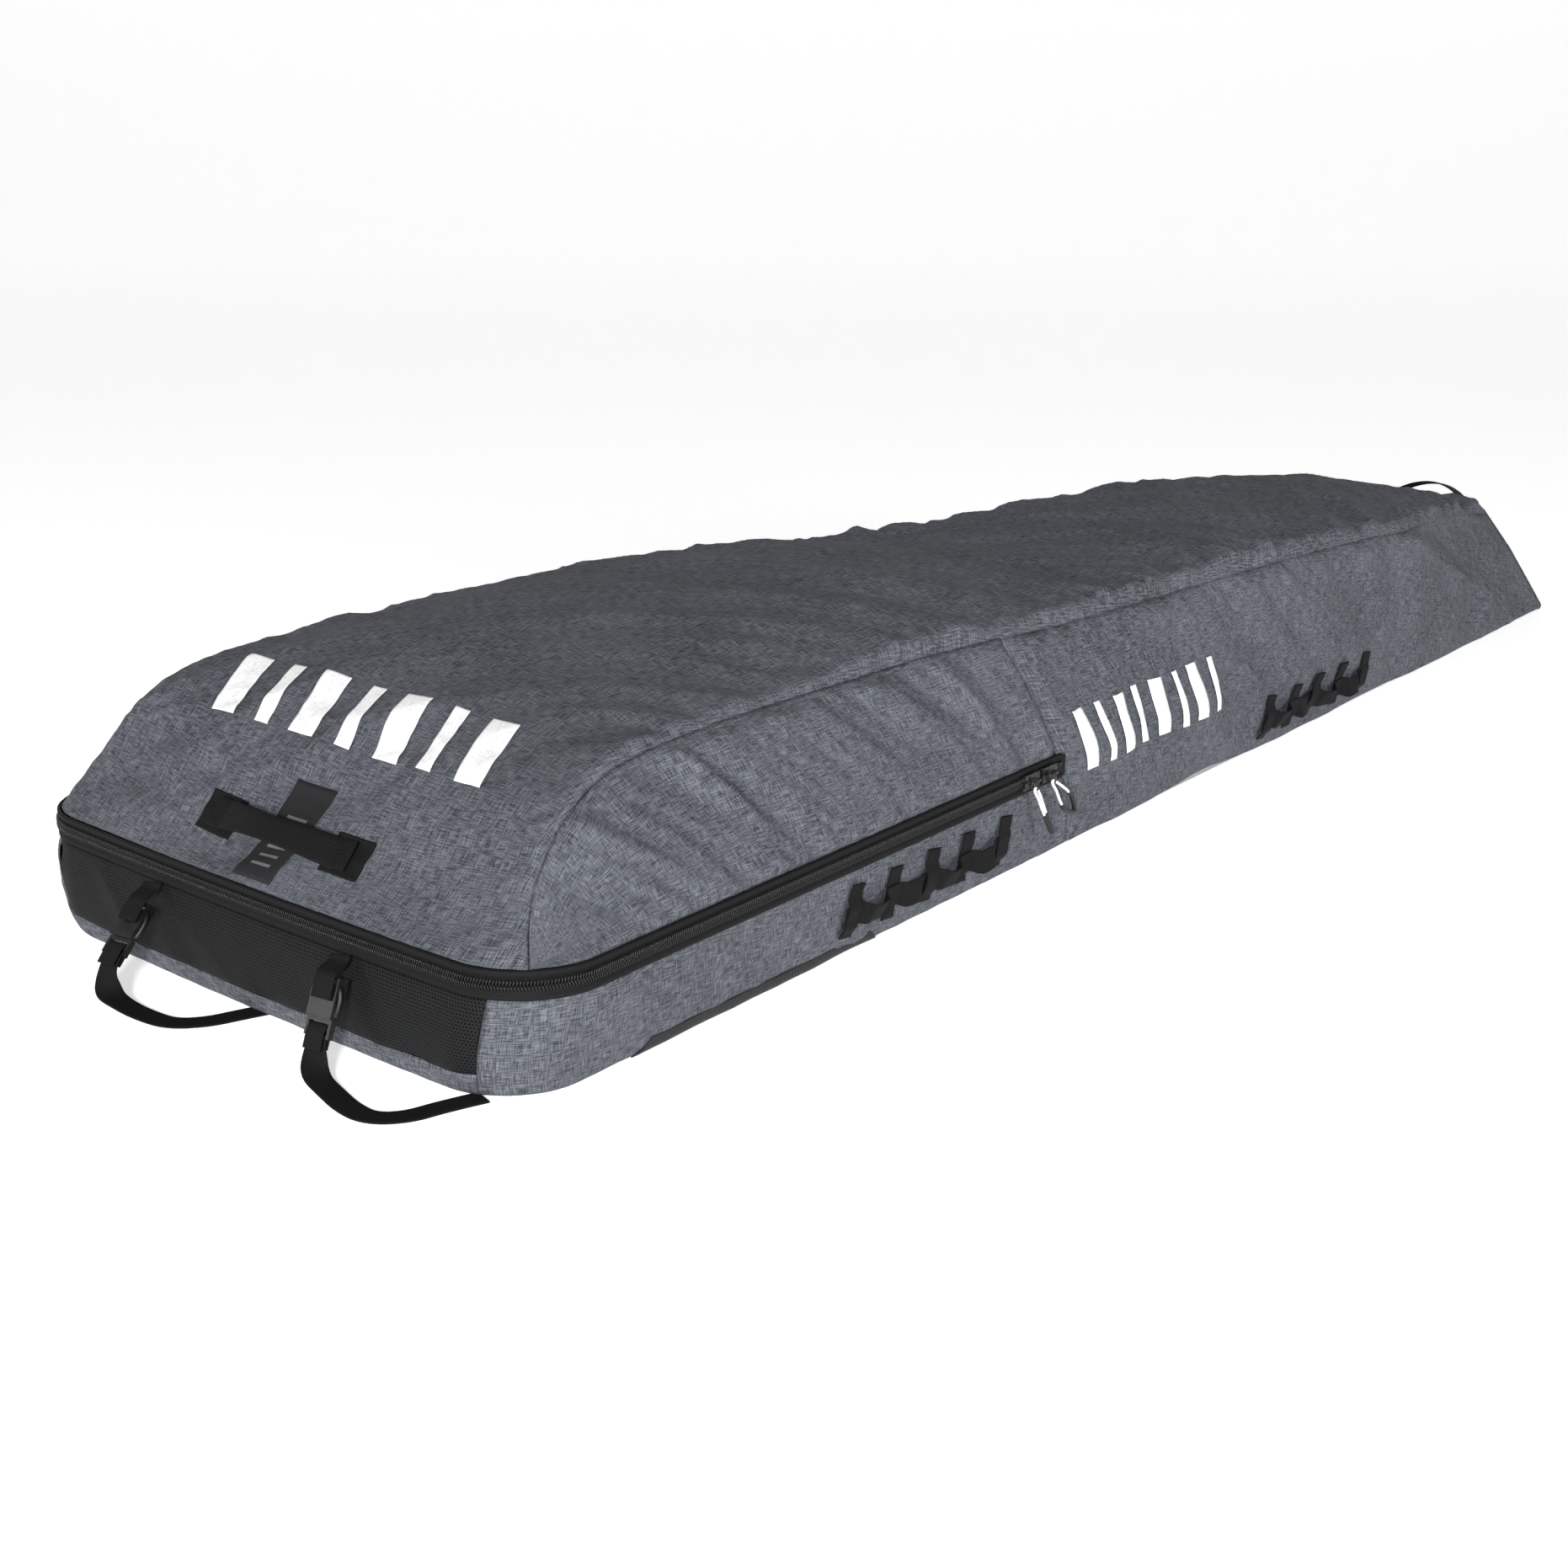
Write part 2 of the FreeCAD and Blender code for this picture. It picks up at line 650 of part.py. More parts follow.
# The tail's sloping end
tail_low_y = half_at(FOOT, TAIL - TAIL_SIDE_X) - CLOTH - 0.3
tail_top = seam_point(TAIL_TOP_X)
tail_rise = crown_at(TAIL_TOP_X) - tail_top.z
tail_grid = []
for share in (0.0, 0.45, 1.0):
    half = tail_low_y + (tail_top.y - CLOTH - 0.5 - tail_low_y) * share
    x = TAIL - (TAIL - TAIL_TOP_X) * share
    z = FOOT + (tail_top.z - CLOTH - 0.5 - FOOT) * share
    row = []
    for a in (-1.0, -0.5, 0.0, 0.5, 1.0):
        row.append(Vector(x - TAIL_SIDE_X * a * a, half * a, z + tail_rise * share * (1 - a * a)))
    tail_grid.append(row)
end_inward = Vector(-0.7, 0, -0.71)
tail_inward = [[end_inward] * 5 for _ in tail_grid]
part_feature("tail_panel", layer(tail_grid, tail_inward, 0, CLOTH))

# ---------------------------------------------------------------------------------------------
# Zip
# ---------------------------------------------------------------------------------------------
COIL_H = size("coil_height")
COIL_W = size("coil_width")
SPLIT = size("zip_split") / 2
TAPE = size("tape_thick")
LID_ZIP_X = ZIP_END - size("lid_zip_stop")
ZIP_MARKS = [0.0, 0.5, 1.0, 1.25, 1.5, 1.75, 2.0, 2.5, 3.0]


def zip_ribbon(low, high, proud, thick, marks, x_end):
    """A ribbon that follows the zip's line between two heights. proud is how far it stands out."""
    grid = []
    inward = []
    for z in (low, high):
        points = [rim(ZIP, t, proud, x_end) for t in marks]
        grid.append([Vector(p.x, p.y, z) for p, _ in points])
        inward.append([d for _, d in points])
    return layer(grid, inward, 0, thick)


def both_ends(low, high, proud, thick, start, stop):
    """The same ribbon on the last stretch of zip, on both sides of the bag."""
    solids = []
    for side in (1, -1):
        grid = []
        inward = []
        for z in (low, high):
            points = []
            for x in (start, stop):
                turn = side_angle(ZIP)
                out = Vector(math.sin(turn), -side * math.cos(turn), 0)
                points.append((Vector(x, -side * half_at(ZIP, x), z) + out * proud, out * -1.0))
            grid.append([p for p, _ in points])
            inward.append([d for _, d in points])
        solids.append(layer(grid, inward, 0, thick))
    return Part.makeCompound(solids)


round_marks = [-t for t in reversed(ZIP_MARKS[1:])] + ZIP_MARKS
part_feature("zip_tape_lower", zip_ribbon(BAND_LOW, ZIP - SPLIT, 0.0, TAPE, round_marks, ZIP_END - GAP))
part_feature(
    "zip_coil_lower",
    zip_ribbon(ZIP - SPLIT - COIL_W, ZIP - SPLIT, COIL_H, COIL_H - 0.05, round_marks, ZIP_END - 3.0),
)
part_feature("zip_tape_upper", zip_ribbon(ZIP + SPLIT, BAND_HIGH, 0.0, TAPE, round_marks, LID_ZIP_X - GAP))
part_feature(
    "zip_coil_upper",
    zip_ribbon(ZIP + SPLIT, ZIP + SPLIT + COIL_W, COIL_H, COIL_H - 0.05, round_marks, LID_ZIP_X - GAP),
)
part_feature("zip_tape_ends", both_ends(ZIP + SPLIT, BAND_HIGH, 0.0, TAPE, LID_ZIP_X + GAP, ZIP_END - GAP))
part_feature(
    "zip_coil_ends",
    both_ends(ZIP + SPLIT, ZIP + SPLIT + COIL_W, COIL_H, COIL_H - 0.05, LID_ZIP_X + GAP, ZIP_END - 3.0),
)
stop_band = (BAND_LOW + 1, BAND_HIGH - 1)
part_feature("zip_end_stops", both_ends(*stop_band, 1.8, 1.6, ZIP_END - 2.5, ZIP_END + 5.0))

# ---------------------------------------------------------------------------------------------
# Side handles: webbing held by five sewn loops
# ---------------------------------------------------------------------------------------------
LOOPS = 5
WEB = size("webbing_thick")


def wall_frame(x, level, side):
    """Along, up and outward directions of the wall below the zip, and its point."""
    a = Vector(x, -side * half_at(level, x), level)
    b = Vector(x + 10, -side * half_at(level, x + 10), level)
    c = Vector(x, -side * half_at(level + 10, x), level + 10)
    along = (b - a).normalize()
    up = (c - a).normalize()
    out = along.cross(up) * side
    return a, along, up, out


REST = 0.4  # webbing lies this far off the wall under each loop


def handle_webbing(centre_x, side):
    """One strip of webbing that lies under each loop and stands off the wall between them."""
    pitch = size("handle_span") / (LOOPS - 1)
    half = size("webbing_width") / 2
    flat = size("loop_width") / 2 + 1.5
    outer = [[], []]
    inner = [[], []]
    start = size("handle_span") / 2 + flat
    path = [(-start, REST)]
    for i in range(LOOPS - 1):
        left = -size("handle_span") / 2 + pitch * i
        for share in spread(0.0, 1.0, 7):
            along = left + flat + (pitch - 2 * flat) * share
            path.append((along, REST + size("webbing_bulge") * math.sin(math.pi * share)))
    path.append((start, REST))
    for along, lift in path:
        a, _, up, out = wall_frame(centre_x + along, size("loop_level"), side)
        for k, sign in enumerate((-1, 1)):
            outer[k].append(a + up * half * sign + out * (lift + WEB))
            inner[k].append(a + up * half * sign + out * lift)
    return slab(outer, inner)


def handle_loops(centre_x, side):
    """The five upright loops, each a strip sewn to the wall above and below the webbing."""
    solids = []
    pitch = size("handle_span") / (LOOPS - 1)
    tall = size("loop_height") / 2
    cover = size("webbing_width") / 2 + 1.5
    lift = WEB + 0.8
    profile = [(-tall, 0.1), (-cover - 2, 0.1), (-cover, lift), (cover, lift), (cover + 2, 0.1), (tall, 0.1)]
    for i in range(LOOPS):
        x = centre_x + pitch * (i - (LOOPS - 1) / 2)
        a, along, up, out = wall_frame(x, size("loop_level"), side)
        outer = [[], []]
        inner = [[], []]
        for k, sign in enumerate((-1, 1)):
            edge = a + along * sign * size("loop_width") / 2
            for height, off in profile:
                outer[k].append(edge + up * height + out * (off + WEB))
                inner[k].append(edge + up * height + out * off)
        solids.append(slab(outer, inner))
    return Part.makeCompound(solids)


for place, reach in (("front", "handle_front_reach"), ("rear", "handle_rear_reach")):
    for side, name in ((1, "right"), (-1, "left")):
        middle = FRONT + size(reach)
        part_feature("handle_%s_%s_webbing" % (place, name), handle_webbing(middle, side))
        part_feature("handle_%s_%s_loops" % (place, name), handle_loops(middle, side))

# Rub patches on the base's edge
for side, name in ((1, "right"), (-1, "left")):
    start = FRONT + size("rub_start_reach")
    grid = []
    inward = []
    for level in (FOOT, size("rub_height")):
        lean = (level - FOOT) * 1.2
        row = []
        for x in (start + lean, start + size("rub_length") / 2, start + size("rub_length") - lean):
            row.append(Vector(x, -side * (outline_y(level, x) + 0.1 + size("rub_thick")), level))
        grid.append(row)
        inward.append([Vector(0, side, 0)] * 3)
    part_feature("rub_patch_" + name, layer(grid, inward, 0, size("rub_thick")))

# Inner tie-down straps, flat on the base's lining
STRAP_LEVEL = BASE + LAYER * 3 + FOAM + LINING
for name, reach in (("front", 520.0), ("rear", 1080.0)):
    x = FRONT + reach
    pad_of_cloth(
        "inner_strap_" + name,
        "Sizes.inner_strap_width",
        "%.1f" % (2 * (half_at(20.0, x) - WALL - 6)),
        "Sizes.inner_strap_thick",
        FreeCAD.Placement(Vector(x, 0, STRAP_LEVEL), FreeCAD.Rotation()),
    )

# ---------------------------------------------------------------------------------------------
# Grab handle, patches and label on the lid's front slope
# ---------------------------------------------------------------------------------------------
def slope_point(height, y):
    """A point and its frame on the lid's front slope, at a height on the middle line."""
    rows = lid_grid[:5]
    column = ACROSS.index(0.0)
    for lower, upper in zip(rows, rows[1:]):
        z0 = lower[column].z
        z1 = upper[column].z
        if height <= z1:
            share = (height - z0) / (z1 - z0)
            points = []
            for row in (lower, upper):
                half = row[-1].y
                a = y / half
                for j in range(len(ACROSS) - 1):
                    if ACROSS[j] <= a <= ACROSS[j + 1]:
                        t = (a - ACROSS[j]) / (ACROSS[j + 1] - ACROSS[j])
                        points.append(row[j] + (row[j + 1] - row[j]) * t)
                        break
            uphill = (points[1] - points[0]).normalize()
            return points[0] + (points[1] - points[0]) * share, uphill
    raise RuntimeError("no slope at height %.0f" % height)


PATCH_LEVEL = 130.0
ACROSS_Y = Vector(0, -1, 0)
for side, name in ((1, "right"), (-1, "left")):
    point, uphill = slope_point(PATCH_LEVEL - 4, -side * size("grab_half"))
    out = ACROSS_Y.cross(uphill)
    if out.x > 0:
        out = out * -1.0
    place = frame_at(point + out * 1.8, ACROSS_Y, out)
    pad_of_cloth("handle_patch_" + name, "Sizes.patch_width", "Sizes.patch_height", "Sizes.patch_thick", place)

label_low, uphill = slope_point(BAND_HIGH + 4, 0.0)
label_high, _ = slope_point(163.0, 0.0)
label_mid, _ = slope_point(134.0, 0.0)
label_rows = []
for point in (label_low, label_mid, label_high):
    half = size("label_width") / 2
    label_rows.append([point + Vector(-0.9, -half, 0.9), point + Vector(-0.9, half, 0.9)])
label_in = [[Vector(0.7, 0, -0.7)] * 2 for _ in label_rows]
label_rows = shift(label_rows, label_in, -size("label_thick"))
part_feature("label_patch", layer(label_rows, label_in, 0, size("label_thick")))


def arched_strap(ends, arch, width_dir, width, thick, steps=12):
    """A strap from one end to the other that arches out. ends are two points, arch its full rise."""
    outer = [[], []]
    inner = [[], []]
    for i in range(steps + 1):
        t = i / steps
        lift = arch * (math.sin(math.pi * t) ** 0.8 if 0 < t < 1 else 0.0)
        point = ends[0] + (ends[1] - ends[0]) * t + lift
        thicken = Vector(arch).normalize() * thick
        for k, sign in enumerate((-1, 1)):
            outer[k].append(point + width_dir * (sign * width / 2) + thicken)
            inner[k].append(point + width_dir * (sign * width / 2))
    return slab(outer, inner)


point, uphill = slope_point(PATCH_LEVEL - 4, 0.0)
out = ACROSS_Y.cross(uphill)
if out.x > 0:
    out = out * -1.0
GRAB_END = size("grab_half") - size("patch_width") / 2 + 6
start, _ = slope_point(PATCH_LEVEL - 4, -GRAB_END)
lift = 1.8 + size("patch_thick") + 0.5
start = start + out * lift
finish = Vector(start.x, -start.y, start.z)
print("grab handle hinges at (%.1f, 0, %.1f)" % (start.x, start.z))
grab_shape = arched_strap((start, finish), out * size("grab_rise"), uphill, size("grab_width"), 2.2)
part_feature("grab_handle", grab_shape)

# Tail handle, standing at the tail's upper edge
tail_x = TAIL_TOP_X - 30.0
tail_edge = crown_at(tail_x) + 0.6
print("tail handle hinges at (%.1f, 0, %.1f)" % (tail_x, tail_edge))
ends = [Vector(tail_x, -s * size("tail_handle_half"), tail_edge) for s in (1, -1)]
part_feature(
    "tail_handle",
    arched_strap(ends, Vector(0.26, 0, 0.966) * size("tail_handle_rise"), Vector(0.966, 0, -0.26),
                 size("webbing_width"), WEB),
)

# ---------------------------------------------------------------------------------------------
# Front buckles
# ---------------------------------------------------------------------------------------------
# Each buckle is built about its own axes: Z up its length, Y across it, X through it.


def box(name, length, width, height, place):
    """A Part::Box, with its sizes bound to the sheet and its corner at a place."""
    solid = doc.addObject("Part::Box", name)
    for prop, expression in (("Length", length), ("Width", width), ("Height", height)):
        solid.setExpression(prop, expression)
    for prop, expression in zip(("Placement.Base.x", "Placement.Base.y", "Placement.Base.z"), place):
        solid.setExpression(prop, expression)
    return solid


def boolean(kind, name, pieces):
    if kind == "cut":
        result = doc.addObject("Part::Cut", name)
        result.Base, result.Tool = pieces
    else:
        result = doc.addObject("Part::MultiFuse", name)
        result.Shapes = pieces
    return result


def socket(label, placement):
    """The female half: a flat housing, open below, with side windows and a bar for the tab."""
    shell = box(label + "_shell", "Sizes.socket_thick", "Sizes.buckle_width", "Sizes.socket_length",
                ("-Sizes.socket_thick / 2", "-Sizes.buckle_width / 2", "-Sizes.socket_length"))
    hollow = box(label + "_hollow", "Sizes.socket_thick - 2 * Sizes.socket_wall",
                 "Sizes.buckle_width - 2 * Sizes.socket_wall", "Sizes.socket_length - Sizes.socket_neck",
                 ("-Sizes.socket_thick / 2 + Sizes.socket_wall", "-Sizes.buckle_width / 2 + Sizes.socket_wall",
                  "-Sizes.socket_length"))
    windows = box(label + "_windows", "Sizes.socket_thick - 2 * Sizes.socket_wall - 1",
                  "Sizes.buckle_width + 2", "Sizes.socket_length / 3",
                  ("-Sizes.socket_thick / 2 + Sizes.socket_wall + 0.5", "-Sizes.buckle_width / 2 - 1",
                   "-Sizes.socket_length * 0.72"))
    slot = box(label + "_slot", "Sizes.socket_thick + 2", "Sizes.webbing_width + 1.5", "Sizes.socket_neck / 3",
               ("-Sizes.socket_thick / 2 - 1", "-Sizes.webbing_width / 2 - 0.75", "-Sizes.socket_neck * 0.62"))
    tools = boolean("fuse", label + "_tools", [hollow, windows, slot])
    result = boolean("cut", label, [shell, tools])
    result.Label = label
    result.Placement = placement
    made.append(result)
    return result


def plug(label, placement):
    """The male half: a frame with a ladder bar, a guide and two prongs that reach into the socket."""
    low = "-Sizes.socket_length - Sizes.plug_clear - Sizes.plug_frame"
    frame = box(label + "_frame", "Sizes.plug_thick", "Sizes.buckle_width", "Sizes.plug_frame",
                ("-Sizes.plug_thick / 2", "-Sizes.buckle_width / 2", low))
    gaps = []
    for i, start in enumerate((2.0, 7.5)):
        gaps.append(box("%s_gap_%d" % (label, i), "Sizes.plug_thick + 2", "Sizes.webbing_width + 1.5", "3.6",
                        ("-Sizes.plug_thick / 2 - 1", "-Sizes.webbing_width / 2 - 0.75", "%s + %.1f" % (low, start))))
    ladder = boolean("cut", label + "_ladder", [frame, boolean("fuse", label + "_gaps", gaps)])
    top = "-Sizes.socket_length - Sizes.plug_clear - 0.5"
    prongs = []
    reach = "Sizes.prong_length"
    offset = "(Sizes.buckle_width / 2 - Sizes.socket_wall - Sizes.plug_clear)"
    thick = "Sizes.plug_thick - 0.6"
    for i, left in enumerate(("-" + offset, offset + " - Sizes.prong_width", "-Sizes.prong_width / 2")):
        prongs.append(box("%s_prong_%d" % (label, i), thick, "Sizes.prong_width", reach,
                          ("-(%s) / 2" % thick, left, top)))
    result = boolean("fuse", label, [ladder] + prongs)
    result.Label = label
    result.Placement = placement
    made.append(result)
    return result


# Left and right buckles hang off the front wall at their own tilt: (forward tilt, roll) in degrees
TILTS = {"right": (24.0, 4.0), "left": (44.0, 5.0)}
SOCKET_TOP = {"right": Vector(-14.0, -11.0, 68.0), "left": Vector(-16.0, -11.0, 66.0)}
buckle_frames = {}
PLUG_LOW = size("socket_length") + size("plug_clear") + size("plug_frame")
for name, sign in (("right", -1), ("left", 1)):
    tilt, roll = TILTS[name]
    top = SOCKET_TOP[name]
    point = Vector(front_x(60.0) + top.x, sign * size("buckle_spread") + top.y, top.z)
    turn = FreeCAD.Rotation(Vector(0, 1, 0), tilt).multiply(FreeCAD.Rotation(Vector(1, 0, 0), -roll))
    place = FreeCAD.Placement(point, turn)
    buckle_frames[name] = place
    socket("buckle_socket_" + name, place)
    plug("buckle_plug_" + name, place)
    # the tab that holds the socket: webbing from the wall under the zip round the socket's bar
    bar = place.multVec(Vector(0, 0, 1.8))
    wall_point = Vector(front_x(75.0) - 1.4, point.y + 4.0, 77.0)
    tab_points = [wall_point, wall_point + Vector(-1.5, -1.0, -5.0), bar]
    outer = [[], []]
    inner = [[], []]
    for p in tab_points:
        for k, s in enumerate((-1, 1)):
            edge = p + Vector(0, s * size("webbing_width") / 2, 0)
            outer[k].append(edge + Vector(-1.6, 0, 0.6))
            inner[k].append(edge)
    part_feature("strap_tab_" + name, slab(outer, inner))

# ---------------------------------------------------------------------------------------------
# Strap loops that lie on the floor in front of the bag
# ---------------------------------------------------------------------------------------------
def rounded_path(points, share=0.45):
    """Straight runs joined by tangent arcs, as large as the two runs beside each point allow."""
    edges = []
    radii = []
    start = points[0]
    for before, here, after in zip(points, points[1:], points[2:]):
        back = (before - here)
        ahead = (after - here)
        turn = math.pi - back.getAngle(ahead)
        reach = share * min(back.Length, ahead.Length)
        radii.append(reach / math.tan(turn / 2))
        first = here + Vector(back).normalize() * reach
        last = here + Vector(ahead).normalize() * reach
        bisector = (Vector(back).normalize() + Vector(ahead).normalize()).normalize()
        centre = here + bisector * (radii[-1] / math.cos(turn / 2))
        middle = centre - bisector * radii[-1]
        edges.append(Part.LineSegment(start, first).toShape())
        edges.append(Part.Arc(first, middle, last).toShape())
        start = last
    edges.append(Part.LineSegment(start, points[-1]).toShape())
    return Part.Wire(edges), radii


FLOOR_Z = WEB / 2 + 0.2
TWIST_TOP = 24.0  # above this height a strap hangs broadside, below it turns to lie flat


def strap(label, points):
    """Flat webbing along a rounded path: broadside as it hangs, and flat where it lies on the floor."""
    wire, radii = rounded_path(points)
    count = 44
    stations = wire.discretize(Number=count)
    outer = [[], []]
    inner = [[], []]
    for i, p in enumerate(stations):
        ahead = (stations[min(i + 1, count - 1)] - stations[max(i - 1, 0)]).normalize()
        hang = min(max((p.z - FLOOR_Z - 1.0) / TWIST_TOP, 0.0), 1.0)
        level = Vector(-ahead.y, ahead.x, 0)
        across = Vector(0, 1, 0) * hang - level.normalize() * (1 - hang) if i > 2 else Vector(0, 1, 0)
        across = (across - ahead * across.dot(ahead)).normalize()
        up = ahead.cross(across)
        for j, sign in enumerate((-1, 1)):
            edge = p + across * (size("webbing_width") / 2 * sign)
            outer[j].append(edge + up * (WEB / 2))
            inner[j].append(edge - up * (WEB / 2))
    shape = slab(outer, inner)
    expected = wire.Length * size("webbing_width") * WEB
    print("%s: length %.0f, radii %s, volume %.0f of %.0f, lowest %.2f" % (
        label, wire.Length, [round(r) for r in radii], shape.Volume, expected, shape.BoundBox.ZMin))
    part_feature(label, shape)


BASE_EDGE = rim(0.0, 0.0, -BASE_TUCK)[0].x
LAYS = {
    "right": [(-1000, -144, 5), (-1004, -168), (-1012, -196), (-1013, -222), (-994, -239), (-966, -243)],
    "left": [(-1016, 92, 10), (-1012, 72, 2.5), (-1010, 46), (-1006, 22), (-986, 6), (-962, 0)],
}
for name, lay in LAYS.items():
    place = buckle_frames[name]
    exit_point = place.multVec(Vector(0, 0, -PLUG_LOW - 0.3))
    down = place.Rotation.multVec(Vector(0, 0, -1))
    route = [exit_point, exit_point + down * 12]
    route += [Vector(*point) if len(point) == 3 else Vector(point[0], point[1], FLOOR_Z) for point in lay]
    route.append(Vector(BASE_EDGE - 0.6, route[-1].y - 6, FLOOR_Z))
    print("route of strap_%s: %s" % (name, [tuple(round(v, 1) for v in p) for p in route]))
    strap("strap_" + name, route)

# ---------------------------------------------------------------------------------------------
# Zip sliders with cord pulls
# ---------------------------------------------------------------------------------------------
SLIDER_REACH = {"front": 56.0, "rear": 27.0}  # each slider's middle, ahead of the zip's end
BRIDGE_WIDTH = 2.4
EYE_HEIGHT = 3.0
BRIDGE_THICK = 1.4
BAR_LEVEL = size("slider_thick") + EYE_HEIGHT + BRIDGE_THICK / 2


def slider(label, x):
    """A slider: a plate over the coils, with a bridge for its pull. X is along the zip and Z is out."""
    turn = side_angle(ZIP)
    out = Vector(math.sin(turn), -math.cos(turn), 0)
    along = Vector(math.cos(turn), math.sin(turn), 0)
    point = Vector(x, -half_at(ZIP, x), ZIP) + out * (COIL_H + size("slider_clear"))
    place = frame_at(point, along, out)
    body = new_body(label, place)
    pad(body, rectangle_sketch(body, label + "_plate", "Sizes.slider_length", "Sizes.slider_width"),
        "Sizes.slider_thick")
    bridge = rectangle_sketch(body, label + "_bridge", "Sizes.slider_length * 0.7", "%.1f" % BRIDGE_WIDTH)
    pad(body, bridge, "Sizes.slider_thick + %.1f" % (EYE_HEIGHT + BRIDGE_THICK))
    eye = rectangle_sketch(body, label + "_eye", "Sizes.slider_length * 0.7 - 5", "%.1f" % EYE_HEIGHT,
                           plane="XZ_Plane", centre=(None, "Sizes.slider_thick + %.1f" % (EYE_HEIGHT / 2)))
    pocket(body, eye, "Sizes.slider_width")
    print("%s at (%.1f, %.1f, %.1f)" % (label, point.x, point.y, point.z))
    return place


def sweep_round(wire, start, direction, radius):
    """A round bar swept along a wire of straight runs and arcs."""
    circle = Part.Wire(Part.Circle(start, direction, radius).toShape())
    return wire.makePipeShell([circle], True, False)


LINK_RADIUS = 2.4
LINK_WIRE = 0.7
LINK_DROP = 5.0


def link(place):
    """A wire link round the slider's bridge: two half circles joined by two straight legs."""
    def at(y, z):
        return place.multVec(Vector(0, y, BAR_LEVEL + z))
    r = LINK_RADIUS
    edges = [
        Part.Arc(at(0, -r), at(r, 0), at(0, r)).toShape(),
        Part.LineSegment(at(0, r), at(-LINK_DROP, r)).toShape(),
        Part.Arc(at(-LINK_DROP, r), at(-LINK_DROP - r, 0), at(-LINK_DROP, -r)).toShape(),
        Part.LineSegment(at(-LINK_DROP, -r), at(0, -r)).toShape(),
    ]
    direction = place.Rotation.multVec(Vector(0, 1, 0))
    return sweep_round(Part.Wire(edges), at(0, -r), direction, LINK_WIRE)


# How each pull hangs: (lean towards the tail in degrees, leg length, half the legs' spread at the sleeve)
HANG = {"front": (33.0, 32.0, 2.6), "rear": (47.0, 34.0, 7.0)}


def pull(name, place):
    """A cord looped through the link, and the sleeve that its two ends run into."""
    lean, leg, spread_half = HANG[name]
    radius = size("pull_cord") / 2
    bow = radius + LINK_WIRE + 0.5
    wire_level = -LINK_DROP - LINK_RADIUS
    hang = Vector(math.sin(math.radians(lean)), -math.cos(math.radians(lean)), 0)
    across = Vector(hang.y, -hang.x, 0) * -1.0

    def at(down, aside):
        return place.multVec(Vector(0, wire_level, BAR_LEVEL) + hang * (down - bow) + across * aside)
    edges = [
        Part.LineSegment(at(leg, spread_half), at(bow, bow)).toShape(),
        Part.Arc(at(bow, bow), at(0, 0), at(bow, -bow)).toShape(),
        Part.LineSegment(at(bow, -bow), at(leg, -spread_half)).toShape(),
    ]
    start = at(leg, spread_half)
    cord = sweep_round(Part.Wire(edges), start, at(bow, bow) - start, radius)
    part_feature("pull_cord_" + name, cord)
    part_feature("pull_link_" + name, link(place))
    down = place.Rotation.multVec(hang)
    label = "pull_sleeve_" + name
    sleeve = doc.addObject("Part::Cone", label)
    sleeve.Label = label
    sleeve.setExpression("Radius1", "Sizes.pull_sleeve / 2 + %.1f" % spread_half)
    sleeve.setExpression("Radius2", "Sizes.pull_sleeve / 2 + %.1f" % (spread_half * 0.4))
    sleeve.setExpression("Height", "Sizes.sleeve_length")
    sleeve.Placement = FreeCAD.Placement(at(leg + 0.5, 0), FreeCAD.Rotation(Vector(0, 0, 1), down))
    made.append(sleeve)
    hinge = place.multVec(Vector(0, 0, BAR_LEVEL))
    print("pull_%s hinges at (%.1f, %.1f, %.1f)" % (name, hinge.x, hinge.y, hinge.z))


for name, reach in SLIDER_REACH.items():
    pull(name, slider("slider_" + name, ZIP_END - reach))

# ---------------------------------------------------------------------------------------------
# Check every object, then write each sub-part
# ---------------------------------------------------------------------------------------------
doc.recompute()
print("lid hinge at (%.1f, 0, %.1f)" % (HINGE_X, crown_at(HINGE_X)))
for item in doc.Objects:
    if "Invalid" in item.State or "Error" in item.State:
        raise RuntimeError("%s failed: %s" % (item.Label, item.State))
labels = [item.Label for item in made]
if len(set(labels)) != len(labels) or len(labels) > 60:
    raise RuntimeError("sub-parts need their own labels, and there are %d" % len(labels))
os.makedirs("parts", exist_ok=True)
for item in made:
    shape = item.Shape
    if shape.isNull() or not shape.isValid() or shape.Volume <= 0:
        raise RuntimeError("%s has no valid shape" % item.Label)
    shape.exportStep("parts/%s.step" % item.Label)
print("%d sub-parts written" % len(made))
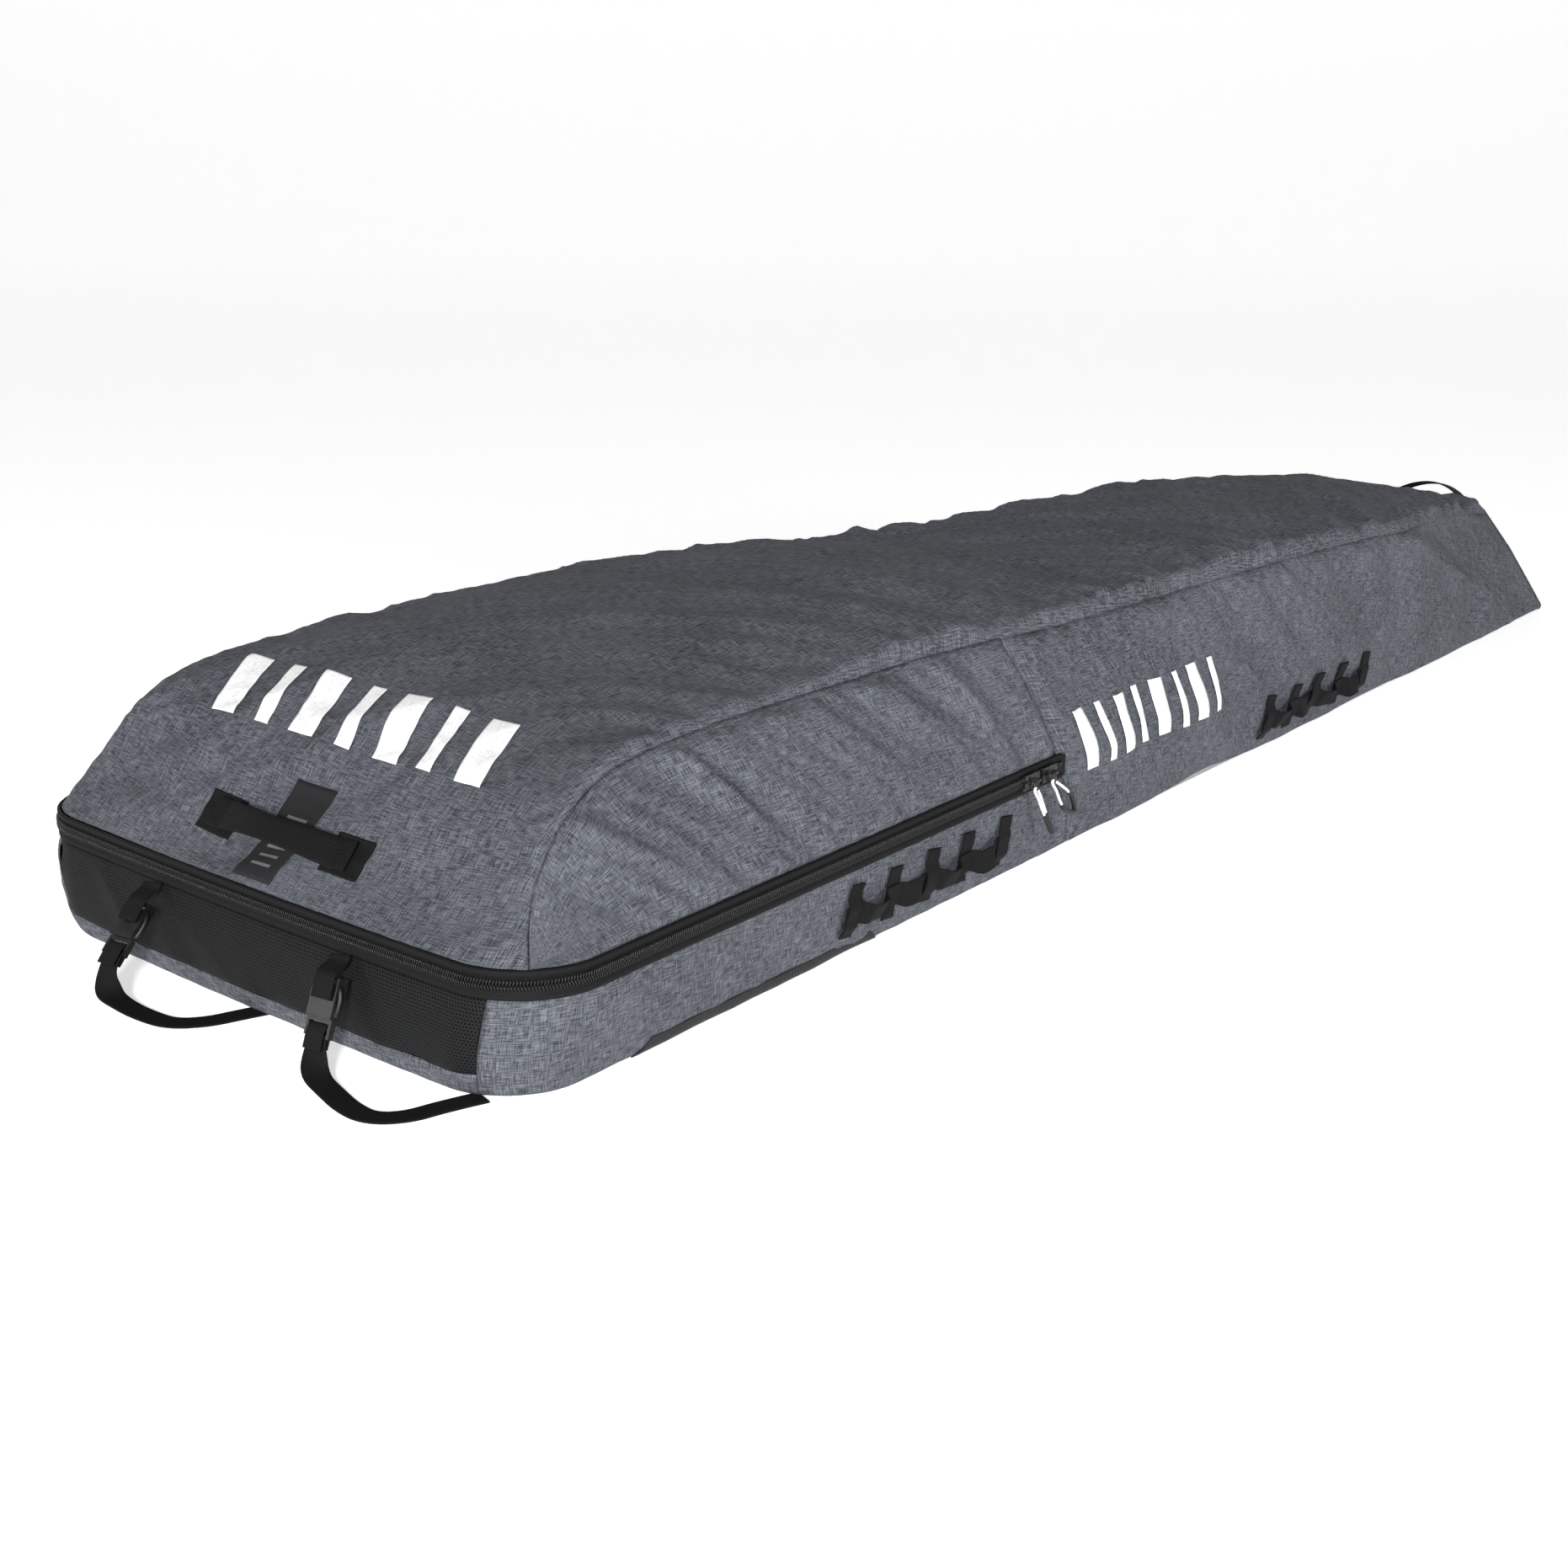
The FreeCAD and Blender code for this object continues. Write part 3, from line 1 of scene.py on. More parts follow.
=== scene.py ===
import json
import math
import bpy
import numpy as np
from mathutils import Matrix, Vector


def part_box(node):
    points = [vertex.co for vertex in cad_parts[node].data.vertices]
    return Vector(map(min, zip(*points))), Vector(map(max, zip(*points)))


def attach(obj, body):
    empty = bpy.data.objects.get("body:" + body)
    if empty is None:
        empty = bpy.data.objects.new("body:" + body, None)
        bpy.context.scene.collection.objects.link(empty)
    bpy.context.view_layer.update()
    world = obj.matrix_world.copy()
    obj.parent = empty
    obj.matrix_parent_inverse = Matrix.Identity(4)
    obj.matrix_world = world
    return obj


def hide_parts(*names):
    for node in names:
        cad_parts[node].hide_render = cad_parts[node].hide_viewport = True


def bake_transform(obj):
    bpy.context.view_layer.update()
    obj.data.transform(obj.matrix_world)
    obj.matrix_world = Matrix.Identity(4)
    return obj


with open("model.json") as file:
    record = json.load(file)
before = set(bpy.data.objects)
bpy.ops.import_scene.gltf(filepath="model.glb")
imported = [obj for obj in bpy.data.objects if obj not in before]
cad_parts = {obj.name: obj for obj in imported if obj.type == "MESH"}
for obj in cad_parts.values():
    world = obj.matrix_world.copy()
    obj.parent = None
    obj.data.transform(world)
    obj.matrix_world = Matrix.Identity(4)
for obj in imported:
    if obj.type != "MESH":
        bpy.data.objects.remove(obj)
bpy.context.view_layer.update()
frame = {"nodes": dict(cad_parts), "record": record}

# A padded board bag that lies flat with its zip closed. Metres, in the row's frame: +X runs from the
# wide front to the narrow tail, +Y is the left side and +Z is up.

MM = 0.001
SIDES = (("right", -1), ("left", 1))

# ---- Camera ----
HEADING = math.radians(43.1)      # the way it looks, from +X towards +Y
LOOKS_DOWN = math.radians(16.9)
camera_data = bpy.data.cameras.new("camera")
camera_data.lens = 60.64
camera_data.sensor_width = 36.0
camera = bpy.data.objects.new("camera", camera_data)
camera.location = (-2.0337, -1.5654, 0.7457)
camera.rotation_euler = (math.pi / 2 - LOOKS_DOWN, 0.0, HEADING - math.pi / 2)
bpy.context.scene.collection.objects.link(camera)
bpy.context.scene.camera = camera

# ---- Sizes ----
tape_low, tape_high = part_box("zip_tape_lower")
upper_low, upper_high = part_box("zip_tape_upper")

LENGTH = 1.9
FRONT, TAIL = -LENGTH / 2, LENGTH / 2
FLOOR_HALF = (0.293, 0.068)   # half width at the floor, at the front and at the tail
ZIP_HALF = (0.311, 0.086)     # half width at the zip
ZIP = (tape_high.z + upper_low.z) / 2
ZIP_END = tape_high.x
BAND_LOW = tape_low.z         # the zip's two tapes, from their lower to their upper edge
BAND_HIGH = upper_high.z
STRIP_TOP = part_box("front_mesh_panel")[0].z
RADIUS = 0.066                # front corners, seen from above
BOW = 0.004                   # how far the front's middle stands ahead of where its corners start
BULGE = 0.005                 # how far the front stands out between the floor and the zip
EDGE_ROUND = 0.010            # radius of the rounded edge along the floor
TAIL_TOP_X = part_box("rear_top_panel")[1].x
FOLD_X = TAIL - 0.512         # where the top starts to narrow more towards the tail
SEAM_LEAN = 0.057             # how far forward the side seam's top leans from its foot at the zip
SEAM_TOP_Z = 0.205
HINGE_X = ZIP_END - SEAM_LEAN
BELT_Z = 0.09                 # the crease along the rear side
STANDS_OUT = 2.4 * MM         # how far the cloth stands outside the zip's line
UNDER_INSET = (0.045, 0.020)  # rows of wall cloth that run in under the bag

# The lid's fold lies between these two bodies; pieces that span it are baked in place and tied to neither
BENDS = ("root", "lid")

QUICK_SHARE = 1.0
TOP_ROWS = int(440 * QUICK_SHARE)
TOP_COLUMNS = int(132 * QUICK_SHARE) // 2 * 2 + 1


# ---- Smooth curves and cloth noise ----
def curve(xs, ys, x):
    """A smooth line through a few points, with no overshoot between them."""
    xs, ys = np.asarray(xs, float), np.asarray(ys, float)
    step = np.diff(xs)
    rise = np.diff(ys) / step
    slope = np.zeros_like(ys)
    inner = rise[:-1] * rise[1:] > 0
    harmonic = 2 * rise[:-1] * rise[1:] / np.where(inner, rise[:-1] + rise[1:], 1)
    slope[1:-1] = np.where(inner, harmonic, 0)
    slope[0], slope[-1] = rise[0], rise[-1]
    x = np.clip(x, xs[0], xs[-1])
    i = np.clip(np.searchsorted(xs, x) - 1, 0, len(step) - 1)
    t = (x - xs[i]) / step[i]
    a = (1 + 2 * t) * (1 - t) ** 2
    b = t * (1 - t) ** 2
    return a * ys[i] + b * step[i] * slope[i] + (1 - a) * ys[i + 1] - (1 - t) * t**2 * step[i] * slope[i + 1]


def grain(x, y, seed=0):
    """Smooth noise over a plane, from about -1 to 1."""
    x, y = np.asarray(x, float), np.asarray(y, float)
    x0, y0 = np.floor(x), np.floor(y)
    fx, fy = x - x0, y - y0
    ux, uy = fx**3 * (fx * (fx * 6 - 15) + 10), fy**3 * (fy * (fy * 6 - 15) + 10)

    def corner(i, j):
        n = np.sin((x0 + i) * 127.1 + (y0 + j) * 311.7 + seed * 74.7) * 43758.5453
        turn = (n - np.floor(n)) * 2 * np.pi
        return np.cos(turn) * (fx - i) + np.sin(turn) * (fy - j)
    low = corner(0, 0) * (1 - ux) + corner(1, 0) * ux
    high = corner(0, 1) * (1 - ux) + corner(1, 1) * ux
    return 1.5 * (low * (1 - uy) + high * uy)


def crease(x, y, seed=0):
    """Noise with sharp valleys and round backs, as cloth folds have."""
    return 1 - 2 * np.abs(grain(x, y, seed))


def smoothstep(a, b, x):
    """A smooth step from 0 at a to 1 at b."""
    t = np.clip((x - a) / (b - a), 0, 1)
    return t * t * (3 - 2 * t)


def unit(v):
    """The same directions, one long."""
    return v / np.linalg.norm(v, axis=-1, keepdims=True)


def run_along(line):
    """How far along a line each of its points lies."""
    return np.concatenate([[0], np.cumsum(np.linalg.norm(np.diff(line, axis=0), axis=1))])


def at_length(line, gone, s):
    """Points of a line at the distances s, where gone says how far along its own points lie."""
    return np.stack([np.interp(s, gone, line[:, k]) for k in range(3)], -1)


def resample(line, count):
    """A line again, with its points evenly apart."""
    gone = run_along(line)
    return at_length(line, gone, np.linspace(0, gone[-1], count))


def soften(values, times):
    """The same row of values with its bends rounded off and its ends kept."""
    for _ in range(times):
        values[1:-1] = 0.25 * values[:-2] + 0.5 * values[1:-1] + 0.25 * values[2:]
    return values


def smooth_line(points, count):
    """An even, rounded line through a few points."""
    return soften(resample(np.asarray(points, float), count), 4)


def wave(x):
    """One hump, from 0 up to 1 and down again, as x goes from 0 to 1."""
    return np.sin(np.pi * x)


def bump_at(distance, width):
    """A bell curve: 1 at no distance, dying out over a width."""
    return np.exp(-((distance / width) ** 2))


# ---- The bag's outline ----
def half_at(z, x):
    """Half width of the bag at a height and a station."""
    along = (x - FRONT) / LENGTH
    low = FLOOR_HALF[0] + (FLOOR_HALF[1] - FLOOR_HALF[0]) * along
    high = ZIP_HALF[0] + (ZIP_HALF[1] - ZIP_HALF[0]) * along
    return low + (high - low) * np.clip(z / ZIP, 0, 1)


def turn_in(z):
    """The angle at which a side runs in towards the tail, at a height."""
    return np.arctan2(half_at(z, FRONT) - half_at(z, TAIL), LENGTH)


def front_x(z):
    """Where the front wall stands at a height, at the middle."""
    return FRONT - BULGE * wave(np.clip(z / ZIP, 0, 1))


def seam_x(z):
    """Where the upright side seam stands, at a height."""
    return ZIP_END - SEAM_LEAN * (z - ZIP) / (SEAM_TOP_Z - ZIP)


def rim(z, t, x_end=None):
    """Points of the outline and their outward directions. t is 0 at the middle of the front, 1 and 2 at the
    ends of the corner's arc, and 3 at the side seam. It is negative on the left."""
    z, t = np.broadcast_arrays(np.asarray(z, float), np.asarray(t, float))
    side = np.where(t >= 0, -1.0, 1.0)
    t = np.abs(t)
    turn = turn_in(z)
    centre_x = front_x(z) + BOW + RADIUS
    centre_y = half_at(z, centre_x) - RADIUS / np.cos(turn)
    angle = np.clip(t - 1, 0, 1) * (np.pi / 2 + turn)
    end_x = seam_x(z) if x_end is None else x_end
    start_x = centre_x + RADIUS * np.sin(turn)
    straight_x = start_x + (end_x - start_x) * np.clip(t - 2, 0, None)
    x = np.where(t <= 1, front_x(z) + BOW * t * t, np.where(t <= 2, centre_x - RADIUS * np.cos(angle), straight_x))
    y = np.where(t <= 1, centre_y * t, np.where(t <= 2, centre_y + RADIUS * np.sin(angle), half_at(z, straight_x)))
    out_x = np.where(t <= 1, -1.0, -np.cos(angle))
    out_y = np.where(t <= 1, 0.0, np.sin(angle))
    return np.stack([x, side * y, z], -1), np.stack([out_x, side * out_y, 0 * z], -1)


def outline_x(y):
    """Foremost point of the zip's outline at a distance from the middle."""
    centre_x = FRONT + BOW + RADIUS
    centre_y = half_at(ZIP, centre_x) - RADIUS / np.cos(turn_in(ZIP))
    y = np.abs(y)
    arc = centre_x - np.sqrt(np.clip(RADIUS**2 - (y - centre_y) ** 2, 0, None))
    return np.where(y <= centre_y, FRONT + BOW * (y / centre_y) ** 2, arc)


outline_t = np.linspace(0, 3, 1200)
outline_reach = run_along(rim(ZIP, outline_t, ZIP_END)[0])
FULL_REACH = float(outline_reach[-1])


def mark_of(reach):
    """The value of t at a distance along the zip's outline from the middle of the front."""
    return np.interp(reach, outline_reach, outline_t)


# Rows of the top where it rises from the zip: its middle (x, z), then its seam (x, y, z). Behind them the middle
# line follows CROWN and the seam follows SEAM, as heights at stations along the bag.
RISE = [
    (-0.9480, 0.101, -0.9190, 0.2875, 0.101),
    (-0.9290, 0.113, -0.9090, 0.2760, 0.122),
    (-0.9060, 0.131, -0.8945, 0.2655, 0.146),
    (-0.8770, 0.163, -0.8740, 0.2600, 0.171),
    (-0.8440, 0.192, -0.8500, 0.2540, 0.190),
    (-0.7950, 0.219, -0.7970, 0.2430, 0.209),
    (-0.7100, 0.240, -0.7100, 0.2345, 0.2165),
]
CROWN_X = [-0.71, -0.56, -0.45, -0.36, -0.25, -0.15, -0.03, 0.10, 0.20, 0.32, 0.44, 0.56, 0.676, 0.76, 0.80]
CROWN_Z = [0.240, 0.2510, 0.2515, 0.2500, 0.2420, 0.2310, 0.2260, 0.2250, 0.2220, 0.2190, 0.2120, 0.1990, 0.1775,
           0.1590, 0.1500]
SEAM_X = [-0.71, -0.5, -0.35, -0.2, 0.1, 0.3, 0.40, 0.44, 0.50, 0.6, 0.7, 0.8]
SEAM_Z = [0.2165, 0.2170, 0.2130, 0.2060, 0.2010, 0.1950, 0.1900, 0.1865, 0.1820, 0.1715, 0.1590, 0.1420]


def seam_half(x):
    """Half the width between the top's two seams."""
    front, fold, tail = 0.248, 0.154, 0.060
    straight = front + (fold - front) * (x - FRONT) / (FOLD_X - FRONT)
    share = np.clip((x - FOLD_X) / (TAIL_TOP_X - FOLD_X), 0, 1)
    return np.where(x <= FOLD_X, straight, fold + (tail - fold) * share)


def top_lines(count):
    """The middle line and the right-hand seam of the top, row by row, with the length along the seam."""
    rows = list(RISE)
    for x in np.linspace(-0.66, TAIL_TOP_X, 60):
        rows.append((x, float(curve(CROWN_X, CROWN_Z, x)), x, float(seam_half(x)), float(curve(SEAM_X, SEAM_Z, x))))
    rows = np.array(rows)
    gone = run_along(rows[:, :2])
    s = np.linspace(0, gone[-1], count)
    return s, np.stack([curve(gone, rows[:, k], s) for k in range(5)], -1)


def grid_normals(points):
    """Directions square to a grid of points."""
    du = np.gradient(points, axis=0)
    dv = np.gradient(points, axis=1)
    n = np.cross(du, dv)
    size = np.linalg.norm(n, axis=-1, keepdims=True)
    return n / np.where(size > 1e-12, size, 1)


# ---- Mesh helpers ----
def piece_from(name, verts, faces, uv=None, material=None, smooth=True):
    """A mesh piece from its points and faces, with uv as its cloth coordinates."""
    mesh = bpy.data.meshes.new(name)
    mesh.from_pydata([tuple(v) for v in verts], [], [tuple(int(i) for i in f) for f in faces])
    if uv is not None:
        layer = mesh.uv_layers.new(name="cloth")
        loops = np.zeros(len(mesh.loops), np.int32)
        mesh.loops.foreach_get("vertex_index", loops)
        layer.data.foreach_set("uv", np.asarray(uv, np.float32)[loops].ravel())
    mesh.update()
    piece = bpy.data.objects.new(name, mesh)
    bpy.context.scene.collection.objects.link(piece)
    if smooth:
        mesh.polygons.foreach_set("use_smooth", [True] * len(mesh.polygons))
    if material is not None:
        mesh.materials.append(material)
    return piece


def grid_faces(rows, columns, offset=0, flip=False, closed=False):
    """Faces between the rows and columns of a grid. A closed one joins its last column to its first."""
    i, j = np.meshgrid(np.arange(rows - 1), np.arange(columns if closed else columns - 1), indexing="ij")
    a = i * columns + j
    b = i * columns + (j + 1) % columns
    c, d = b + columns, a + columns
    faces = np.stack([a, b, c, d], -1).reshape(-1, 4) + offset
    return faces[:, ::-1] if flip else faces


def sheet_piece(name, points, material, flip=False, thick=0.0014, uv=None):
    """A cloth panel over a grid of points, with a real thickness and closed edges."""
    rows, columns = points.shape[:2]
    if uv is None:
        middle = run_along(points[:, columns // 2]), run_along(points[rows // 2])
        uv = np.stack(np.meshgrid(*middle, indexing="ij"), -1)
    n = grid_normals(points) * (-1 if flip else 1)
    back = points - n * thick
    front_faces = grid_faces(rows, columns, 0, flip)
    back_faces = grid_faces(rows, columns, rows * columns, not flip)
    index = np.arange(rows * columns).reshape(rows, columns)
    loop = np.concatenate([index[0], index[1:, -1], index[-1, -2::-1], index[-2:0:-1, 0]])
    edge = np.stack([loop, loop + rows * columns, np.roll(loop, -1) + rows * columns, np.roll(loop, -1)], -1)
    if flip:
        edge = edge[:, ::-1]
    verts = np.concatenate([points.reshape(-1, 3), back.reshape(-1, 3)])
    both = np.concatenate([uv.reshape(-1, 2)] * 2)
    return piece_from(name, verts, np.concatenate([front_faces, back_faces, edge]), both, material)


def ringed(name, rings, along, around, material, flip=False):
    """A solid through a row of rings with closed ends. along and around are its cloth coordinates in metres."""
    count, size = rings.shape[:2]
    faces = list(grid_faces(count, size, flip=flip, closed=True))
    faces.append(np.arange(size)[:: 1 if flip else -1])
    faces.append((np.arange(size) + (count - 1) * size)[:: -1 if flip else 1])
    uv = np.stack(np.meshgrid(along, around, indexing="ij"), -1).reshape(-1, 2)
    return piece_from(name, rings.reshape(-1, 3), faces, uv, material)


def flat_section(width, thick):
    """A flat strap's section with rounded edges."""
    half, r = width / 2, thick / 2
    angles = np.linspace(-np.pi / 2, np.pi / 2, 4)
    right = np.stack([half - r + r * np.cos(angles), r * np.sin(angles)], -1)
    flat = np.linspace(half - r, -half + r, 8)[1:-1]
    top = np.stack([flat, np.full(6, r)], -1)
    return np.concatenate([right, top, -right, -top])


def swept(line, across, up, section):
    """Rings of a section along a line, whose axes at each point are across and up."""
    return line[:, None] + across[:, None] * section[..., :1] + up[:, None] * section[..., 1:]


def frames_along(line, across):
    """The width's direction and the face's direction at each point of a line, square to it."""
    ahead = unit(np.gradient(line, axis=0))
    across = unit(across - ahead * np.sum(across * ahead, 1, keepdims=True))
    return across, np.cross(ahead, across)


def ribbon(name, line, across, width, thick, material):
    """Webbing along a line."""
    section = flat_section(width, thick)
    rings = swept(line, *frames_along(line, across), section)
    return ringed(name, rings, run_along(line), run_along(section), material)


def tube(name, line, radius, material, around=12):
    """A round cord or sleeve along a line. radius may change along it."""
    ahead = unit(np.gradient(line, axis=0))
    start = [0.0, 0.0, 1.0] if abs(ahead[0, 2]) < 0.9 else [0.0, 1.0, 0.0]
    across = [np.cross(ahead[0], start)]
    for d in ahead:
        across.append(unit(across[-1] - d * np.dot(across[-1], d)))
    across = np.array(across[1:])
    angles = np.linspace(0, 2 * np.pi, around, endpoint=False)
    radius = np.broadcast_to(radius, (len(line),))[:, None, None]
    rings = swept(line, across, np.cross(ahead, across), radius * np.stack([np.cos(angles), np.sin(angles)], -1))
    return ringed(name, rings, run_along(line), angles / (2 * np.pi) * 0.01, material)


def spline_points(points):
    """Points on the NURBS spline whose control points are given."""
    data = bpy.data.curves.new("route", "CURVE")
    data.dimensions = "3D"
    spline = data.splines.new("NURBS")
    spline.points.add(len(points) - 1)
    for control, p in zip(spline.points, points):
        control.co = (*p, 1.0)
    spline.order_u = 3
    spline.use_endpoint_u = True
    data.resolution_u = 24
    route = bpy.data.objects.new("route", data)
    mesh = bpy.data.meshes.new_from_object(route)
    line = np.array([v.co for v in mesh.vertices])
    bpy.data.objects.remove(route)
    bpy.data.curves.remove(data)
    bpy.data.meshes.remove(mesh)
    return line


def settle(piece, slot, body, *nodes):
    """Hides the nodes that a piece replaces and ties it to the body that it rides on, if it is told one; across the
    lid's fold it only bakes the piece in place. slot is not used.
    """
    if nodes:
        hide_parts(*nodes)
    if body == BENDS:
        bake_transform(piece)
    elif body:
        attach(piece, body)


# ---- Materials ----
class Val:
    """A socket that grows Math nodes when it is used in an expression."""

    def __init__(self, shader, socket):
        self.shader = shader
        self.socket = socket

    def apply(self, operation, *values):
        return self.shader.node("ShaderNodeMath", {"operation": operation}, dict(enumerate(values)))

    def __add__(self, o):
        return self.apply("ADD", self, o)

    def __radd__(self, o):
        return self.apply("ADD", o, self)

    def __sub__(self, o):
        return self.apply("SUBTRACT", self, o)

    def __rsub__(self, o):
        return self.apply("SUBTRACT", o, self)

    def __mul__(self, o):
        return self.apply("MULTIPLY", self, o)

    def __rmul__(self, o):
        return self.apply("MULTIPLY", o, self)

    def __pow__(self, o):
        return self.apply("POWER", self, o)

    def abs(self):
        return self.apply("ABSOLUTE", self)

    def fract(self):
        return self.apply("FRACT", self)

    def above(self, o):
        return self.apply("GREATER_THAN", self, o)

    def turns(self, pitch):
        """A sine that repeats with a pitch in metres."""
        return (self * (2 * math.pi / pitch)).sin()

    def sin(self):
        return self.apply("SINE", self)

    def ribs(self, pitch):
        """The same, between 0 and 1."""
        return self.turns(pitch) * 0.5 + 0.5


class Shader:
    """A material and its nodes."""

    def __init__(self, name, roughness=0.8, color=(0.5, 0.5, 0.5), metallic=0.0, specular=0.3):
        self.material = bpy.data.materials.new(name)
        self.material.use_nodes = True
        self.tree = self.material.node_tree
        self.bsdf = self.tree.nodes["Principled BSDF"]
        self.bsdf.inputs["Roughness"].default_value = roughness
        self.bsdf.inputs["Base Color"].default_value = (*color, 1)
        self.bsdf.inputs["Metallic"].default_value = metallic
        self.bsdf.inputs["Specular IOR Level"].default_value = specular

    def node(self, kind, settings, inputs, output=0):
        """One output of a new node. Its settings are set first, then its sockets' values or links."""
        node = self.tree.nodes.new(kind)
        for key, value in settings.items():
            setattr(node, key, value)
        for key, value in inputs.items():
            if isinstance(value, Val):
                self.tree.links.new(value.socket, node.inputs[key])
            else:
                node.inputs[key].default_value = value
        return Val(self, node.outputs[output])

    def feed(self, socket, value):
        self.tree.links.new(value.socket, self.bsdf.inputs[socket])

    def uv(self):
        return self.node("ShaderNodeTexCoord", {}, {}, "UV")

    def place(self):
        return self.node("ShaderNodeTexCoord", {}, {}, "Object")

    def axes(self, vector):
        first = self.node("ShaderNodeSeparateXYZ", {}, {0: vector})
        return [Val(self, out) for out in first.socket.node.outputs]

    def scaled(self, vector, x, y, z=1.0):
        return self.node("ShaderNodeVectorMath", {"operation": "MULTIPLY"}, {0: vector, 1: (x, y, z)})

    def noise(self, vector, detail=2.0, roughness=0.5, distortion=0.0):
        return self.node("ShaderNodeTexNoise", {}, {"Vector": vector, "Scale": 1.0, "Detail": detail,
                                                    "Roughness": roughness, "Distortion": distortion}, "Fac")

    def ramp(self, value, low, high, to_low=0.0, to_high=1.0):
        """A smooth step of a value from low to high."""
        return self.node("ShaderNodeMapRange", {"interpolation_type": "SMOOTHSTEP"},
                         {"Value": value, 1: low, 2: high, 3: to_low, 4: to_high})

    def mix(self, factor, a, b):
        a, b = ((*shade, 1) if isinstance(shade, tuple) else shade for shade in (a, b))
        return self.node("ShaderNodeMix", {"data_type": "RGBA"}, {0: factor, 6: a, 7: b}, 2)

    def color(self, value):
        self.feed("Base Color", value)

    def roughness(self, value):
        self.feed("Roughness", value)

    def bump(self, height, strength, distance):
        inputs = {"Strength": strength, "Distance": distance, "Height": height}
        self.feed("Normal", self.node("ShaderNodeBump", {}, inputs))


def melange_cloth():
    """Grey woven polyester with light and dark threads that show as short crossed streaks."""
    s = Shader("melange_cloth", roughness=0.86, specular=0.2)
    uv = s.uv()
    warp = s.noise(s.scaled(uv, 80, 1150), detail=3, roughness=0.62)
    weft = s.noise(s.scaled(uv, 1150, 80), detail=3, roughness=0.62)
    speck = s.noise(s.scaled(uv, 1100, 1100), detail=1)
    cloud = s.noise(s.scaled(uv, 9, 9), detail=3, roughness=0.6)
    threads = s.ramp(warp * 0.46 + weft * 0.40 + speck * 0.14, 0.41, 0.61)
    worn = threads * 0.86 + s.ramp(cloud, 0.3, 0.7) * 0.14
    s.color(s.mix(worn, (0.018, 0.020, 0.026), (0.150, 0.158, 0.182)))
    s.roughness(s.ramp(threads, 0, 1, 0.92, 0.78))
    crumple = s.noise(s.scaled(uv, 16, 34), detail=1.5, roughness=0.4, distortion=0.5)
    s.bump(crumple * 5.0 + warp * 0.35 + weft * 0.35, strength=0.5, distance=0.0012)
    return s.material


def mesh_cloth():
    """Black open mesh: rows of small round holes, each painted near-black inside as painted shade."""
    s = Shader("black_mesh", roughness=0.7, specular=0.12)
    u, v, _ = s.axes(s.scaled(s.uv(), 1 / 0.0030, 1 / 0.0026))
    row = (v * 0.5).fract().above(0.5)
    du = (u + row * 0.5).fract() - 0.5
    dv = v.fract() - 0.5
    distance = (du * du + dv * dv) ** 0.5
    rib = s.ramp(distance, 0.22, 0.40)
    # the holes take the darker colour: painted shade where the bag's inside would show through them
    s.color(s.mix(rib, (0.0008, 0.0008, 0.0010), (0.012, 0.0125, 0.013)))
    s.bump(rib, strength=0.8, distance=0.0007)
    return s.material


def webbing_cloth():
    """Black webbing with fine ribs both ways."""
    s = Shader("webbing", roughness=0.8, specular=0.12)
    u, v, _ = s.axes(s.uv())
    fuzz = s.noise(s.scaled(s.uv(), 700, 700))
    weave = u.ribs(0.0016) * 0.5 + v.ribs(0.0021) * 0.3 + fuzz * 0.2
    s.color(s.mix(s.ramp(weave, 0.2, 0.9), (0.0027, 0.0027, 0.00282), (0.0114, 0.0114, 0.012)))
    s.bump(weave, strength=0.5, distance=0.0005)
    return s.material


def tape_cloth():
    """The zip's woven tape: fine ribs along its length."""
    s = Shader("zip_tape_cloth", roughness=0.7, specular=0.1)
    _, v, _ = s.axes(s.uv())
    ribs = v.ribs(0.0011)
    fuzz = s.noise(s.scaled(s.uv(), 500, 500))
    s.color(s.mix(ribs * 0.6 + fuzz * 0.4, (0.004, 0.004, 0.004), (0.013, 0.013, 0.014)))
    s.bump(ribs * 0.7 + fuzz * 0.3, strength=0.4, distance=0.0004)
    return s.material


def plastic(name, tone=0.006, roughness=0.36):
    """Black moulding with a fine even texture and slightly rubbed patches."""
    s = Shader(name, roughness=roughness, color=(tone, tone, tone * 1.05), specular=0.45)
    fine = s.noise(s.scaled(s.place(), 900, 900, 900))
    rubbed = s.noise(s.scaled(s.place(), 60, 60, 60), detail=3)
    s.color(s.mix(s.ramp(rubbed, 0.35, 0.75), (tone, tone, tone * 1.05), (tone * 1.8, tone * 1.8, tone * 1.85)))
    s.roughness(s.ramp(rubbed, 0.3, 0.7, roughness - 0.06, roughness + 0.12))
    s.bump(fine, strength=0.12, distance=0.0003)
    return s.material


def coil_plastic():
    """Black nylon of the zip teeth, worn shiny in places."""
    s = Shader("coil_plastic", roughness=0.35, specular=0.3)
    wear = s.noise(s.scaled(s.place(), 300, 300, 300))
    s.color(s.mix(wear, (0.003, 0.003, 0.003), (0.016, 0.016, 0.017)))
    s.roughness(s.ramp(wear, 0.2, 0.8, 0.28, 0.46))
    return s.material


def slider_paint():
    """Black paint on metal, rubbed through in spots."""
    s = Shader("slider_paint", roughness=0.35, metallic=0.6, specular=0.5)
    wear = s.noise(s.scaled(s.place(), 250, 250, 250), detail=3)
    s.color(s.mix(s.ramp(wear, 0.45, 0.8), (0.015, 0.015, 0.016), (0.12, 0.12, 0.125)))
    s.roughness(s.ramp(wear, 0.3, 0.7, 0.28, 0.5))
    return s.material


def white_cord():
    """Plaited white cord."""
    s = Shader("white_cord", roughness=0.8, specular=0.25)
    u, v, _ = s.axes(s.uv())
    plait = (u.turns(0.0022) * v.turns(0.0025)) * 0.5 + 0.5
    s.color(s.mix(plait, (0.55, 0.55, 0.55), (0.86, 0.86, 0.85)))
    s.bump(plait, strength=0.5, distance=0.0005)
    return s.material


